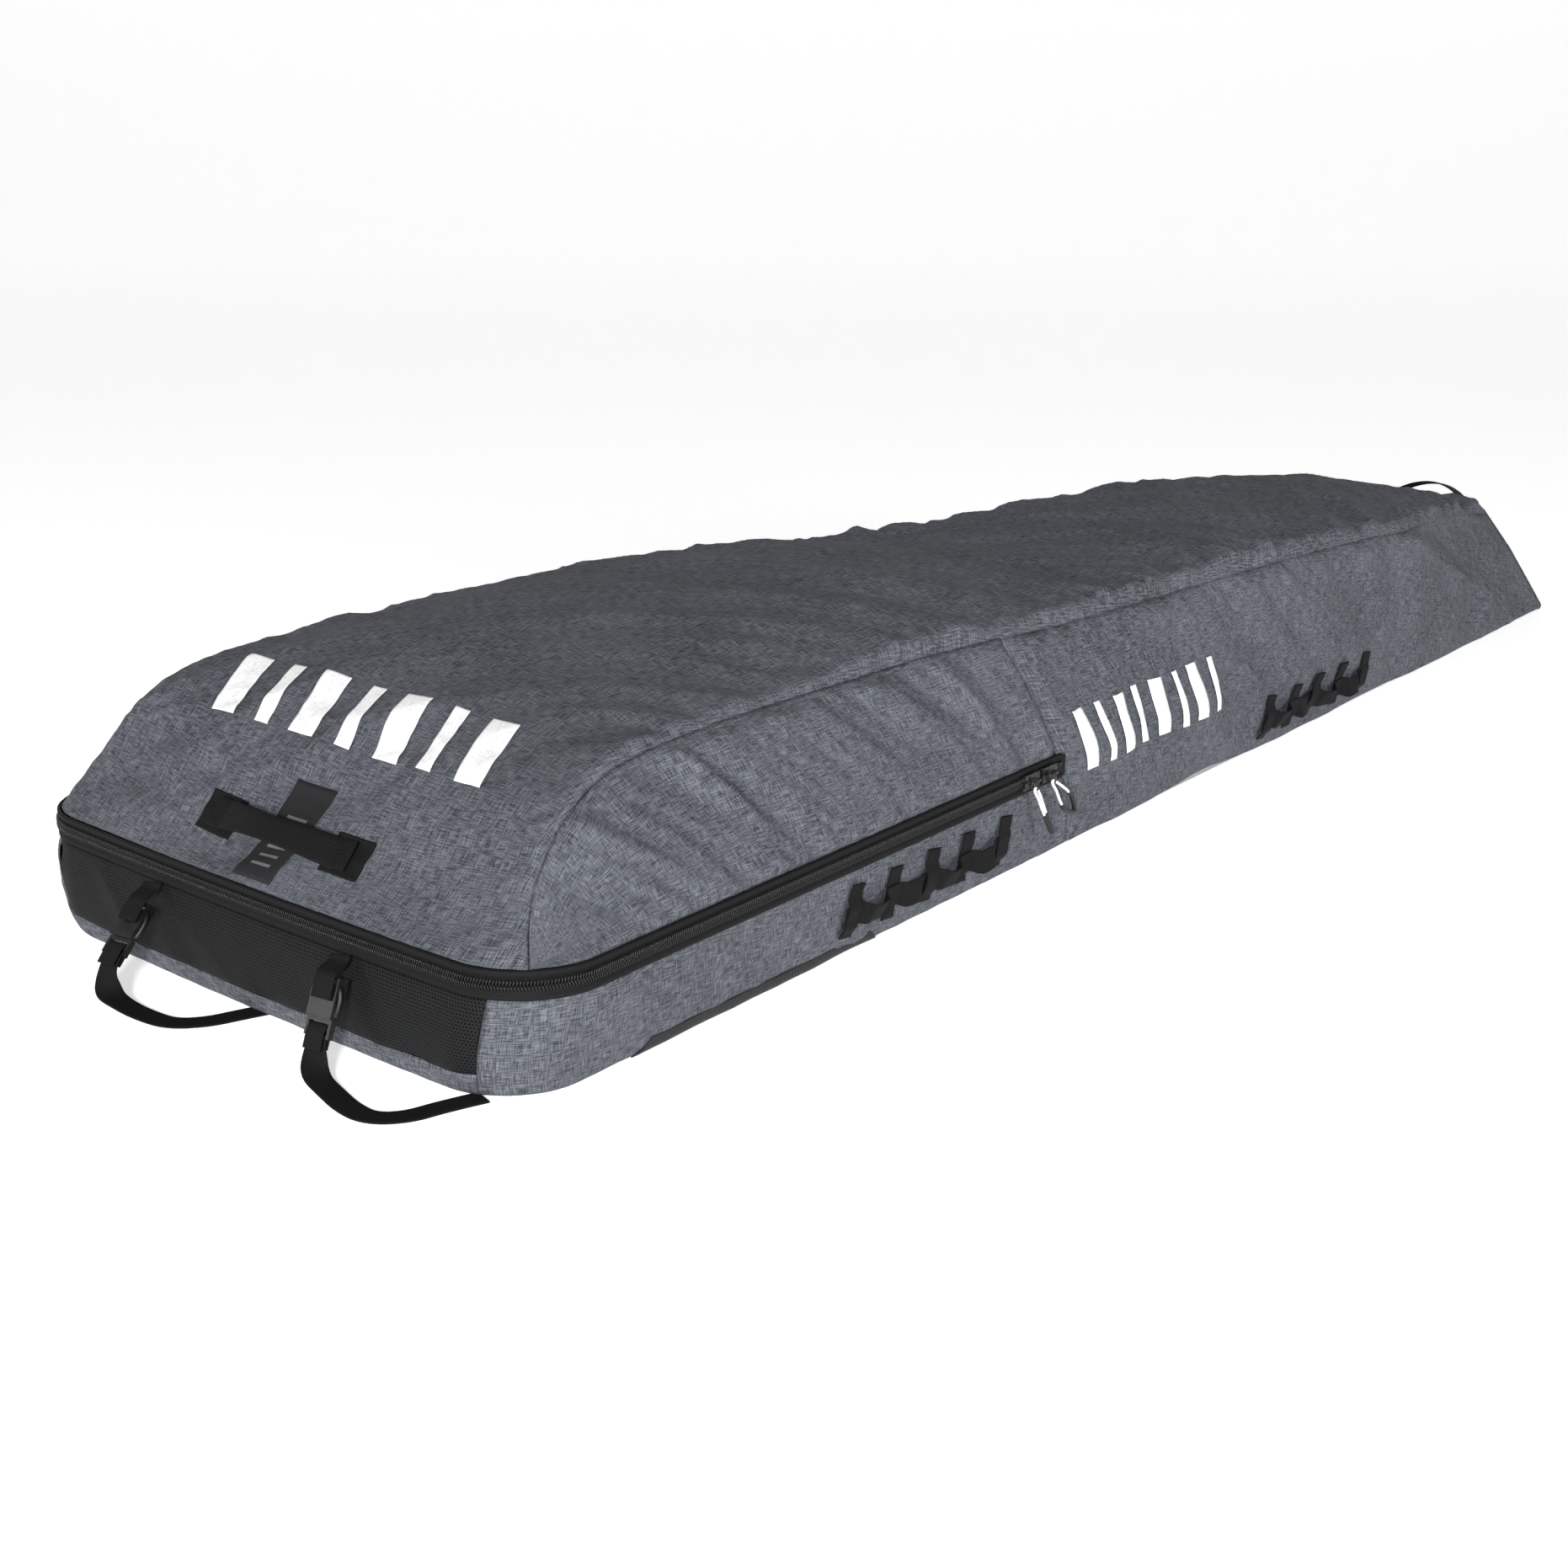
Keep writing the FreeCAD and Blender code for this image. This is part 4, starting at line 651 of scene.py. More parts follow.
def print_ink():
    """White screen print that lets a little of the weave through."""
    s = Shader("print_ink", roughness=0.6, specular=0.3)
    warp = s.noise(s.scaled(s.uv(), 120, 900))
    weft = s.noise(s.scaled(s.uv(), 900, 120))
    s.color(s.mix(s.ramp(warp * 0.5 + weft * 0.5, 0.3, 0.55), (0.62, 0.62, 0.63), (0.88, 0.88, 0.88)))
    s.bump(warp * 0.5 + weft * 0.5, strength=0.2, distance=0.0003)
    return s.material


def rub_cloth():
    """Dark coated cloth with slanted ribs."""
    s = Shader("rub_cloth", roughness=0.6, specular=0.15)
    u, v, _ = s.axes(s.uv())
    ribs = (u + v * 0.35).ribs(0.0036)
    dust = s.noise(s.scaled(s.uv(), 30, 90), detail=4)
    s.color(s.mix(ribs * 0.5 + dust * 0.5, (0.008, 0.008, 0.009), (0.028, 0.028, 0.029)))
    s.bump(ribs, strength=0.7, distance=0.0008)
    return s.material


def plain_cloth(name, dark, light, roughness):
    """Cloth or foam of one colour, a little uneven."""
    s = Shader(name, roughness=roughness, specular=0.3)
    warp = s.noise(s.scaled(s.place(), 420, 420, 420), detail=3)
    cloud = s.noise(s.scaled(s.place(), 12, 12, 12), detail=3)
    s.color(s.mix(warp * 0.7 + cloud * 0.3, dark, light))
    s.bump(warp, strength=0.3, distance=0.0005)
    return s.material


def label_cloth():
    """Black label with plain grey lines across it."""
    s = Shader("label_cloth", roughness=0.7, specular=0.12)
    uv = s.uv()
    u, v, _ = s.axes(uv)
    line = 1 - s.ramp(((v * (1 / 0.0090)).fract() - 0.5).abs(), 0.12, 0.16)
    inside = s.ramp((u - 0.023).abs(), 0.012, 0.0125, 1, 0) * v.above(0.012) * (1 - v.above(0.066))
    fibre = s.noise(s.scaled(uv, 600, 600))
    base = s.mix(fibre, (0.010, 0.010, 0.011), (0.026, 0.026, 0.028))
    s.color(s.mix(line * inside * 0.8, base, (0.16, 0.16, 0.165)))
    s.bump(fibre, strength=0.3, distance=0.0003)
    return s.material


CLOTH = melange_cloth()
MESH = mesh_cloth()
WEBBING = webbing_cloth()
TAPE = tape_cloth()
BUCKLE = plastic("buckle_plastic")
COIL = coil_plastic()
PAINT = slider_paint()
CORD = white_cord()
SLEEVE = plastic("sleeve_rubber", tone=0.007, roughness=0.5)
INK = print_ink()
RUB = rub_cloth()
LABEL = label_cloth()
BASE_CLOTH = plain_cloth("base_cloth", (0.014, 0.014, 0.015), (0.045, 0.045, 0.047), 0.6)
LINING = plain_cloth("lining_cloth", (0.16, 0.165, 0.175), (0.30, 0.31, 0.325), 0.55)
FOAM = plain_cloth("foam", (0.20, 0.20, 0.21), (0.34, 0.34, 0.35), 0.9)

# ---- The top: lid and rear, one panel across the place where the lid's zip ends ----
seam_s, top_rows = top_lines(TOP_ROWS)
mid_x, mid_z, edge_x, edge_y, edge_z = top_rows.T
seam_line = np.stack([edge_x, edge_y, edge_z], -1)
seam_length = run_along(seam_line)
SEAM_SINK = 3.4 * MM


def seam_wobble(s, side):
    """How far the sewn seam wanders in and out along its length."""
    steep = smoothstep(0.0, 0.1, s) * (1 - smoothstep(1.75, 1.95, s))
    return steep * (1.6 * grain(s / 0.034, 3.3, 11 + side) + 2.2 * grain(s / 0.12, 1.7, 12 + side)) * MM


def groove(distance):
    """How deep the cloth sinks at a distance from a sewn seam."""
    return -SEAM_SINK * bump_at(distance, SEAM_SINK)


def top_surface():
    """The top panel with its folds, from the zip at the front to the tail."""
    a = np.linspace(-1, 1, TOP_COLUMNS)[None, :]
    s = seam_s[:, None]
    y = edge_y[:, None] * a
    # across the zip the top follows the outline, and further up it is a plain arch
    shape = (outline_x(y) - FRONT) / np.maximum(outline_x(edge_y)[:, None] - FRONT, 1e-4)
    early = 1 - smoothstep(0.0, 0.05, s)
    bend = shape * early + np.abs(a) ** 2.2 * (1 - early)
    x = mid_x[:, None] + (edge_x - mid_x)[:, None] * bend
    full = 2.3 + 0.5 * smoothstep(0.1, 0.5, s)
    z = edge_z[:, None] + (mid_z - edge_z)[:, None] * (1 - np.abs(a) ** full)
    points = np.stack([x + 0 * y, y, z + 0 * y], -1)
    n = grid_normals(points)
    n *= np.sign(np.sum(n[..., 2]))
    side = np.where(a > 0, 1.0, 2.0)
    across = (1 - np.abs(a)) * edge_y[:, None]          # distance from the nearer seam
    run = seam_length[:, None]
    xx = points[..., 0]
    # short folds that start at the seams and die out across the top
    pull = np.exp(-across / 0.045) * smoothstep(0.06, 0.2, run)
    slant = run + across * np.where(a > 0, 0.55, 0.35)
    height = 4.2 * MM * pull * crease(slant / 0.044, across / 0.20, 21 + side)
    height += 2.0 * MM * np.exp(-across / 0.024) * crease(slant / 0.021, across / 0.08, 23 + side)
    reach_in = np.exp(-across / 0.13) * smoothstep(0.35, 0.6, run)
    height += 5.5 * MM * reach_in * crease((run - across * 0.9) / 0.075, across / 0.45, 25 + side)
    # long diagonal folds and soft dents
    height += 4.6 * MM * crease((run + y * 0.9) / 0.14, (y - run * 0.3) / 0.34, 31)
    height += 6.5 * MM * grain(run / 0.26, y / 0.26, 33) * smoothstep(0.16, 0.4, run)
    height += 1.9 * MM * crease((run - y * 0.6) / 0.058, (y + run * 0.5) / 0.13, 35) * smoothstep(0.3, 0.7, run)
    # the broad sag behind the lid, and a crease that crosses it
    sag = bump_at(xx + 0.11, 0.10) * smoothstep(0.0, 0.5, 1 - np.abs(a))
    height -= 7.0 * MM * sag
    height += 3.0 * MM * bump_at(xx + 0.175 + 0.22 * y + 0.6 * y * y, 0.022) * (1 - np.abs(a) ** 3)
    height -= 2.6 * MM * bump_at(xx + 0.13 + 0.25 * y + 0.6 * y * y, 0.016) * (1 - np.abs(a) ** 3)
    # folds between the print and the zip on the front slope
    slope = bump_at(run - 0.085, 0.06)
    height += 2.8 * MM * slope * crease(y / 0.060 + run * 5, run / 0.034, 41)
    # cloth pinched towards the tail handle
    knot = bump_at(xx - 0.74, 0.09)
    height += 3.0 * MM * knot * crease(y / 0.035, xx / 0.2, 43) * (1 - np.abs(a) ** 4)
    edge = smoothstep(0.0, 0.012, across)
    ends = smoothstep(0.0, 0.02, seam_s)[:, None] * (1 - smoothstep(seam_s[-1] - 0.02, seam_s[-1], seam_s))[:, None]
    points = points + n * (height * edge * (0.15 + 0.85 * ends))[..., None]
    # the seam itself sinks in
    inward = np.stack([0 * y + 0 * s, np.sign(a) * 0.7 + 0 * s, 0 * y + 0.7], -1)
    wobble = np.where(a > 0, seam_wobble(seam_length, 1)[:, None], seam_wobble(seam_length, 2)[:, None])
    return points + inward * (groove(across) + wobble * np.exp(-across / 0.03))[..., None]


def seam_edge(side):
    """The seam's own line on one side, as both panels meet it. side 1 is the left."""
    line = seam_line * [1, side, 1]
    sink = -SEAM_SINK + seam_wobble(seam_length, 1 if side > 0 else 2)
    return line + np.array([0, 0.7 * side, 0.7]) * sink[:, None]


top_points = top_surface()
top_across = edge_y[:, None] * np.linspace(-1, 1, TOP_COLUMNS)[None, :]
top_uv = np.stack(np.broadcast_arrays(seam_length[:, None], top_across), -1)
top_panel = sheet_piece("top_panel", top_points, CLOTH, uv=top_uv)
settle(top_panel, "outer_cloth", BENDS, "lid_top_panel", "rear_top_panel")


def under_top(rows, inset):
    """A smooth surface across rows of the top, that stops short of the seams."""
    a = np.linspace(-1, 1, 33)[None, :]
    mx, mz, ex, ey, ez = [column[:, None] for column in rows.T]
    y = (ey - inset) * a
    x = mx + (ex - mx) * np.abs(a) ** 2.2
    z = ez + (mz - ez) * (1 - np.abs(a) ** 2.5)
    return np.stack([x + 0 * y, y, z + 0 * y], -1)


def lining_surface(depth):
    """The lid's padded lining, a smooth quilt under the top."""
    points = under_top(top_rows[top_rows[:, 0] < HINGE_X + 0.03][::6], 0.012)
    x, y = points[..., 0], points[..., 1]
    quilt = 1.5 * MM * np.abs(wave(y / 0.045) * wave(x / 0.045)) ** 0.5
    return points - grid_normals(points) * (depth - quilt)[..., None]


lid_lining = sheet_piece("lid_lining_cloth", lining_surface(9 * MM), LINING, flip=True, thick=0.004)
settle(lid_lining, "lining", BENDS, "lid_foam", "lid_lining")


def rear_padding():
    """The padding under the rear top."""
    first = int(np.searchsorted(mid_x, HINGE_X + 0.02))
    points = under_top(top_rows[first:-12:5], 0.020) - [0, 0, 0.017]
    piece = sheet_piece("rear_padding", points, FOAM, thick=0.008)
    settle(piece, "padding", "root", "rear_top_foam")


rear_padding()


# ---- Upper sides, from the front corner to the side seam ----
def side_height(u_run, v, tall, seed):
    """Folds of the upper side wall: short puckers under the seam and long soft folds down to the zip."""
    below = (1 - v) * tall
    h = 3.2 * MM * np.exp(-below / 0.03) * crease(u_run / 0.034 + v * 0.4, below / 0.12, seed)
    h += 6.0 * MM * crease((u_run + 0.45 * v * tall) / 0.066, v * 0.55, seed + 1) * smoothstep(0.03, 0.16, u_run)
    h += 2.2 * MM * crease((u_run + 0.65 * v * tall) / 0.030, v * 0.8, seed + 2) * smoothstep(0.03, 0.12, u_run)
    h += 1.6 * MM * np.exp(-v / 0.16) * crease(u_run / 0.030 - v, v * 1.2, seed + 3)
    return h


def upper_side(word, side):
    """The lid's side wall, from the zip up to the top seam."""
    edge = seam_edge(side)
    last = np.searchsorted(edge_x, HINGE_X)
    total = seam_length[last]
    count = int(150 * QUICK_SHARE)
    share = np.linspace(0, 1, count)
    top = at_length(edge, seam_length, share * total)
    top[-1, 0] = min(top[-1, 0], HINGE_X)
    # the foot starts on the corner, below the seam's front end
    corner = outline_t > 1.0
    stations = rim(ZIP, outline_t[corner], ZIP_END)[0][:, 0]
    foot_from = np.interp(RISE[0][2], stations, outline_reach[corner])
    t = mark_of(foot_from + (FULL_REACH - foot_from) * share)
    foot, out = rim(ZIP, -t * side, seam_x(BAND_HIGH))
    foot = foot - out * STANDS_OUT
    foot[:, 2] = BAND_HIGH + 0.2 * MM
    columns = int(40 * QUICK_SHARE)
    v = np.linspace(0, 1, columns)[None, :, None]
    points = foot[:, None] * (1 - v) + top[:, None] * v
    n = grid_normals(points)
    n *= np.sign(np.sum(n[..., 1])) * side
    v = v[..., 0]
    tall = np.linalg.norm(top - foot, axis=1)[:, None]
    run = (share * total)[:, None]
    belly = 7 * MM * wave(v ** 0.9) * smoothstep(0, 0.25, share)[:, None]
    h = side_height(run, v, tall, 51 if side > 0 else 61)
    border = smoothstep(0, 0.05, v) * (1 - smoothstep(0.90, 1.0, v))
    ends = smoothstep(0, 0.05, share)[:, None] * (1 - smoothstep(0.975, 1.0, share))[:, None]
    h = h * border * ends * np.clip(tall / 0.08, 0, 1)
    pocket = groove((1 - share[:, None]) * total)
    points = points + n * (h + belly * ends + pocket * border)[..., None]
    uv = np.stack(np.broadcast_arrays(run, v * 0.13), -1)
    piece = sheet_piece("upper_side_" + word, points, CLOTH, flip=side < 0, uv=uv)
    settle(piece, "outer_cloth", BENDS, "lid_side_" + word)


for word, side in SIDES:
    upper_side(word, side)

# ---- Lower walls: mesh panel, front strip and lower sides, with a rounded edge on the floor ----
def under_edge(z):
    """How far the wall draws in as it rounds under the floor edge."""
    r = EDGE_ROUND
    return np.where(z < r, r - np.sqrt(np.clip(r**2 - (r - z) ** 2, 0, None)), 0.0)


def floor_levels(top, count):
    """Heights of a wall's rows, closer together where it rounds in at the floor."""
    rounding = np.linspace(0.8 * MM, EDGE_ROUND, 7)[:-1]
    return np.concatenate([rounding, np.linspace(EDGE_ROUND, top, count)])


def lower_wall(t_values, z_values, seed, amount=1.0, under=True):
    """Points of the lower wall, optionally with rows that run in under the bag."""
    t = np.asarray(t_values)[:, None]
    z = np.asarray(z_values)[None, :]
    points, out = rim(z + 0 * t, t + 0 * z)
    run = np.interp(np.abs(t), outline_t, outline_reach) * np.sign(t)
    h = 3.0 * MM * crease((run + z * 0.9) / 0.085, z / 0.12, seed)
    h += 1.3 * MM * crease((run - z) / 0.036, z / 0.06, seed + 1)
    h *= amount * smoothstep(BAND_LOW, BAND_LOW - 0.012, z) * (0.35 + 0.65 * smoothstep(0.004, 0.03, z))
    points = points + out * (h - under_edge(z) + 2.0 * MM * wave(np.clip(z / BAND_LOW, 0, 1)))[..., None]
    if under:
        rows = []
        for inset, level in zip(UNDER_INSET, (1.2, 0.7)):
            row = points[:, :1] - out[:, :1] * inset
            row[..., 2] = level * MM
            rows.append(row)
        points = np.concatenate(rows + [points], 1)
    return points


TURN = float(turn_in(ZIP))
MESH_END = 1 + math.radians(27.0) / (math.pi / 2 + TURN)   # the mesh goes 27 degrees round each corner
STEP = 4.5 * MM / QUICK_SHARE
mesh_reach = np.interp(MESH_END, outline_t, outline_reach)
front_count = int(2 * mesh_reach / STEP)
front_reach = np.linspace(-mesh_reach, mesh_reach, front_count)
front_t = np.sign(front_reach) * mark_of(np.abs(front_reach))

mesh_points = lower_wall(front_t, np.linspace(STRIP_TOP - 0.3 * MM, BAND_LOW, 16), 71, 0.7, under=False)
front_mesh = sheet_piece("front_mesh", mesh_points, MESH)
settle(front_mesh, "mesh", "root", "front_mesh_panel")

strip_points = lower_wall(front_t, floor_levels(STRIP_TOP, 4), 73, 0.8)
strip_points[:, -1] -= rim(STRIP_TOP, front_t)[1] * 1.0 * MM
front_strip = sheet_piece("front_strip_cloth", strip_points, CLOTH)
settle(front_strip, "outer_cloth", "root", "front_strip")

finished_walls = {-1: [], 1: []}
for word, side in SIDES:
    t = -side * mark_of(np.linspace(mesh_reach, FULL_REACH, int((FULL_REACH - mesh_reach) / STEP)))
    points = lower_wall(t, floor_levels(BAND_LOW, 18), 81 + side)
    finished_walls[side].append(points.reshape(-1, 3))
    piece = sheet_piece("lower_side_cloth_" + word, points, CLOTH, flip=side > 0)
    settle(piece, "outer_cloth", "root", "lower_side_" + word)


# ---- Rear sides, from the side seam to the tail ----
FOLD_LINE_Z = [0.010, 0.060, 0.118, 0.190]
FOLD_LINE_X = [0.800, 0.730, 0.590, 0.430]


def rear_side(word, side):
    """The wall behind the side seam, from the floor up to the top seam."""
    columns = int(230 * QUICK_SHARE)
    share = np.linspace(0, 1, columns)
    edge = seam_edge(side)
    first = np.searchsorted(edge_x, HINGE_X)
    begin, total = seam_length[first], seam_length[-1]
    top = at_length(edge, seam_length, begin + (total - begin) * share)
    z_rows = floor_levels(BELT_Z, 14)[:-1]
    low_z = z_rows[0]
    start_low = float(seam_x(low_z))
    x_low = start_low + (TAIL - 0.006 - start_low) * share
    above = np.linspace(0, 1, 22)
    rows = []
    past = np.clip((top[:, 0] - FOLD_X) / (TAIL_TOP_X - FOLD_X), 0, 1)
    belt_share = (BELT_Z - low_z) / np.maximum(top[:, 2] - low_z, 1e-3)
    belt_x = x_low + (top[:, 0] - x_low) * belt_share
    lean_x = ZIP_END + (belt_x - belt_x[0]) * (belt_x[-1] - ZIP_END) / (belt_x[-1] - belt_x[0])
    floor_y = half_at(0.0, x_low)
    straight_y = floor_y + (np.abs(top[:, 1]) - floor_y) * belt_share
    belt_y = straight_y + (half_at(BELT_Z, lean_x) - straight_y) * (1 - 0.9 * past)
    for z in z_rows:
        k = z / BELT_Z
        x = x_low + (lean_x - x_low) * k
        y = floor_y + (belt_y - floor_y) * k - under_edge(z)
        rows.append(np.stack([x, y, z + 0 * x], -1))
    for k in above:
        x = lean_x + (top[:, 0] - lean_x) * k
        y = belt_y + (np.abs(top[:, 1]) - belt_y) * k
        z = BELT_Z + (top[:, 2] - BELT_Z) * k
        rows.append(np.stack([x, y, z], -1))
    points = np.stack(rows, 1)
    # soften the crease at the belt
    for _ in range(5):
        points[:, 8:-1] = 0.25 * points[:, 7:-2] + 0.5 * points[:, 8:-1] + 0.25 * points[:, 9:]
    n = unit(np.array([0.12, 1.0, 0.1]))
    x, z = points[..., 0], points[..., 2]
    run = (begin + (total - begin) * share)[:, None]
    below = np.clip(top[:, 2:3] - z, 0, None)
    h = 3.2 * MM * np.exp(-below / 0.03) * crease(run / 0.034, below / 0.12, 91 + side)
    h += 5.0 * MM * crease((x + z * 0.5) / 0.11, (z - x * 0.10) / 0.13, 93 + side)
    h += 1.6 * MM * crease((x - z * 0.4) / 0.042, z / 0.09, 95 + side)
    h += 6.0 * MM * wave(np.clip(z / np.maximum(top[:, 2:3], 0.05), 0, 1)) * (1 - smoothstep(0.35, 0.6, x))
    # the tail's side is pressed in beyond a diagonal fold
    beyond = x - np.interp(z, FOLD_LINE_Z, FOLD_LINE_X)
    tail_end = 1 - smoothstep(0.80, 1.0, share)[:, None]
    h -= 15 * MM * smoothstep(0.0, 0.10, beyond) * (0.25 + 0.75 * tail_end)
    h += 3.0 * MM * bump_at(beyond, 0.018) * tail_end
    border = 1 - smoothstep(0.0, 1.0, 1 - below / 0.012)
    ends = smoothstep(0, 0.02, share)[:, None] * (1 - smoothstep(0.985, 1.0, share))[:, None]
    low_edge = 0.3 + 0.7 * smoothstep(0.002, 0.03, z)
    points = points + n * (h * border * ends * low_edge)[..., None]
    points += n * groove(share * (total - begin))[:, None, None] * border[..., None]
    # the floor edge lifts where the bag is least filled
    lift = 5.0 * MM * bump_at(x - 0.05, 0.09) + 3.0 * MM * bump_at(x - 0.42, 0.07)
    points[..., 2] += lift * (1 - smoothstep(0.0, 0.03, z))
    under = []
    for inset in UNDER_INSET:
        row = points[:, :1] - [0, inset, 0]
        row[..., 1] = np.maximum(row[..., 1], 0.015)
        row[..., 2] = 1.2 * MM
        under.append(row)
    points = np.concatenate(under + [points], 1)
    points[..., 1] *= side
    up_wall = np.concatenate([[-0.03, -0.015], z_rows, BELT_Z + above * 0.11])
    uv = np.stack(np.broadcast_arrays(run, up_wall[None, :]), -1)
    piece = sheet_piece("rear_side_cloth_" + word, points, CLOTH, flip=side > 0, uv=uv)
    settle(piece, "outer_cloth", "root", "rear_side_" + word)
    return points


rear_right, rear_left = (rear_side(word, side) for word, side in SIDES)
finished_walls[-1].append(rear_right.reshape(-1, 3))
finished_walls[1].append(rear_left.reshape(-1, 3))


def tail_end():
    """The tail's sloping end, between the two rear sides and the top's last row."""
    right, left = rear_right[-1], rear_left[-1]
    a = np.linspace(0, 1, 31)[None, :, None]
    points = right[:, None] * (1 - a) + left[:, None] * a
    b = 2 * a[..., 0] - 1
    z = points[..., 2]
    share = np.clip(z / max(right[-1, 2], 1e-3), 0, 1)
    crown = np.interp(a[0, :, 0], np.linspace(0, 1, TOP_COLUMNS), top_points[-1, :, 2])
    points[..., 2] += (crown[None, :] - right[-1, 2]) * smoothstep(0.5, 1.0, share)
    points[..., 0] += 0.004 * (1 - b**2) + 0.006 * wave(share) * (1 - b**4)
    wrinkle = crease(points[..., 1] / 0.05, z / 0.05, 101)
    points[..., 0] += 1.6 * MM * wrinkle * (1 - b**8) * smoothstep(0.05, 0.2, share)
    piece = sheet_piece("tail_cloth", points, CLOTH)
    settle(piece, "outer_cloth", "root", "tail_panel")


tail_end()


def base_cloth():
    """The coated base, flat on the floor."""
    inset = 0.022
    right, out = rim(0.0, np.linspace(0, 2, 40))
    half = np.concatenate([right - out * inset, [[TAIL - 0.03, inset - half_at(0.0, TAIL), 0.0]]])
    ring = np.concatenate([half, (half * [1, -1, 1])[::-1]])
    count = len(ring)
    low = np.concatenate([ring, [[0.0, 0.0, 0.0]]])
    verts = np.concatenate([low, low + [0, 0, 2.2 * MM]])
    faces = []
    for i in range(count):
        j = (i + 1) % count
        faces.append((i, j, count))
        faces.append((j + count + 1, i + count + 1, 2 * count + 1))
        faces.append((j, i, i + count + 1, j + count + 1))
    piece = piece_from("base_cloth", verts, faces, None, BASE_CLOTH, smooth=False)
    settle(piece, "base_cloth", "root", "base_panel")


base_cloth()


# ---- Zip: tapes and moulded coils ----
def zip_line(reach_from, reach_to, step):
    """Points of the zip's line and their outward directions, between two distances from the front's middle."""
    count = int((reach_to - reach_from) / step)
    reach = np.linspace(reach_from, reach_to, count)
    t = np.sign(reach) * mark_of(np.abs(reach))
    return rim(ZIP, t, ZIP_END)


def zip_tape(name, upper, *nodes):
    """A tape with a rolled binding at its outer edge."""
    points, out = zip_line(-FULL_REACH, FULL_REACH, 6 * MM)
    up = np.array([0.0, 0.0, 1.0 if upper else -1.0])
    # millimetres from the coil outwards, then off the wall
    section = np.array([(0.4, 0.6), (3.0, 0.9), (5.5, 0.8), (6.4, 1.5), (8.2, 2.3), (10.2, 2.2), (11.2, 1.1),
                        (11.0, -0.6), (6.0, -1.0), (0.4, -0.8)]) * MM
    rings = points[:, None] + up * section[:, :1] + out[:, None] * section[:, 1:]
    piece = ringed(name, rings, run_along(points), section[:, 0], TAPE, flip=upper)
    settle(piece, "zip_tape", BENDS if upper else "root", *nodes)


def coil(name, upper, *nodes):
    """A row of moulded coil turns. Each turn leans over and has a round back."""
    pitch = 2.3 * MM * 1
    points, out = zip_line(-FULL_REACH + 0.004, FULL_REACH - 0.004, pitch)
    ahead = unit(np.gradient(points, axis=0))[:, None]
    up = np.array([0.0, 0.0, 1.0 if upper else -1.0])
    start = -0.3 if upper else -0.5
    # one turn in millimetres: up the wall, off it, and along the zip
    spine = [(start, 1.3), (start + 0.4, 2.6), (start + 2.2, 3.0), (start + 4.2, 2.7), (start + 4.9, 1.3)]
    sides = np.linspace(0, 2 * np.pi, 5, endpoint=False)
    turn = MM * np.array([(a, b + 0.55 * math.sin(angle), 0.62 * math.cos(angle)) for a, b in spine for angle in sides])
    lean = 0.30
    along = turn[:, 2:] + lean * turn[:, :1] + (0.5 * pitch if upper else 0.0)
    verts = points[:, None] + up * turn[:, :1] + out[:, None] * turn[:, 1:2] + ahead * along
    walls = grid_faces(len(spine), 5, closed=True)
    firsts = np.arange(len(points)) * len(turn)
    faces = [face + first for first in firsts for face in walls]
    faces += [face + first for first in firsts for face in (np.arange(5)[::-1], np.arange(20, 25))]
    piece = piece_from(name, verts.reshape(-1, 3), faces, None, COIL)
    settle(piece, "zip_coil", BENDS if upper else "root", *nodes)


zip_tape("zip_tape_lower_cloth", False, "zip_tape_lower")
zip_tape("zip_tape_upper_cloth", True, "zip_tape_upper", "zip_tape_ends")
coil("zip_coil_lower_turns", False, "zip_coil_lower")
coil("zip_coil_upper_turns", True, "zip_coil_upper", "zip_coil_ends")

# ---- Side handles ----
def wall_axes(x, z, sign):
    """A wall point with its along, up and outward directions. sign is -1 on the right."""
    def at(px, pz):
        return np.array([px, sign * float(half_at(pz, px)), pz])
    p = at(x, z)
    along = unit(at(x + 0.01, z) - p)
    up = unit(at(x, z + 0.01) - p)
    return p, along, up, unit(np.cross(along, up) * -sign)


def wall_stands_out(x, z, sign):
    """How far the finished wall stands outside the straight wall at a point, folds included."""
    points = np.concatenate(finished_walls[sign])
    near = (np.abs(points[:, 0] - x) < 0.010) & (np.abs(points[:, 2] - z) < 0.012)
    return float(np.max(np.abs(points[near, 1]) - half_at(points[near, 2], points[near, 0])))


def over_wall(line, sign):
    """The same line, moved out by what the finished wall stands out under each of its points."""
    stand = np.array([wall_stands_out(p[0], p[2], sign) for p in line])
    return line + np.array([0.0, float(sign), 0.0]) * soften(stand, 6)[:, None]


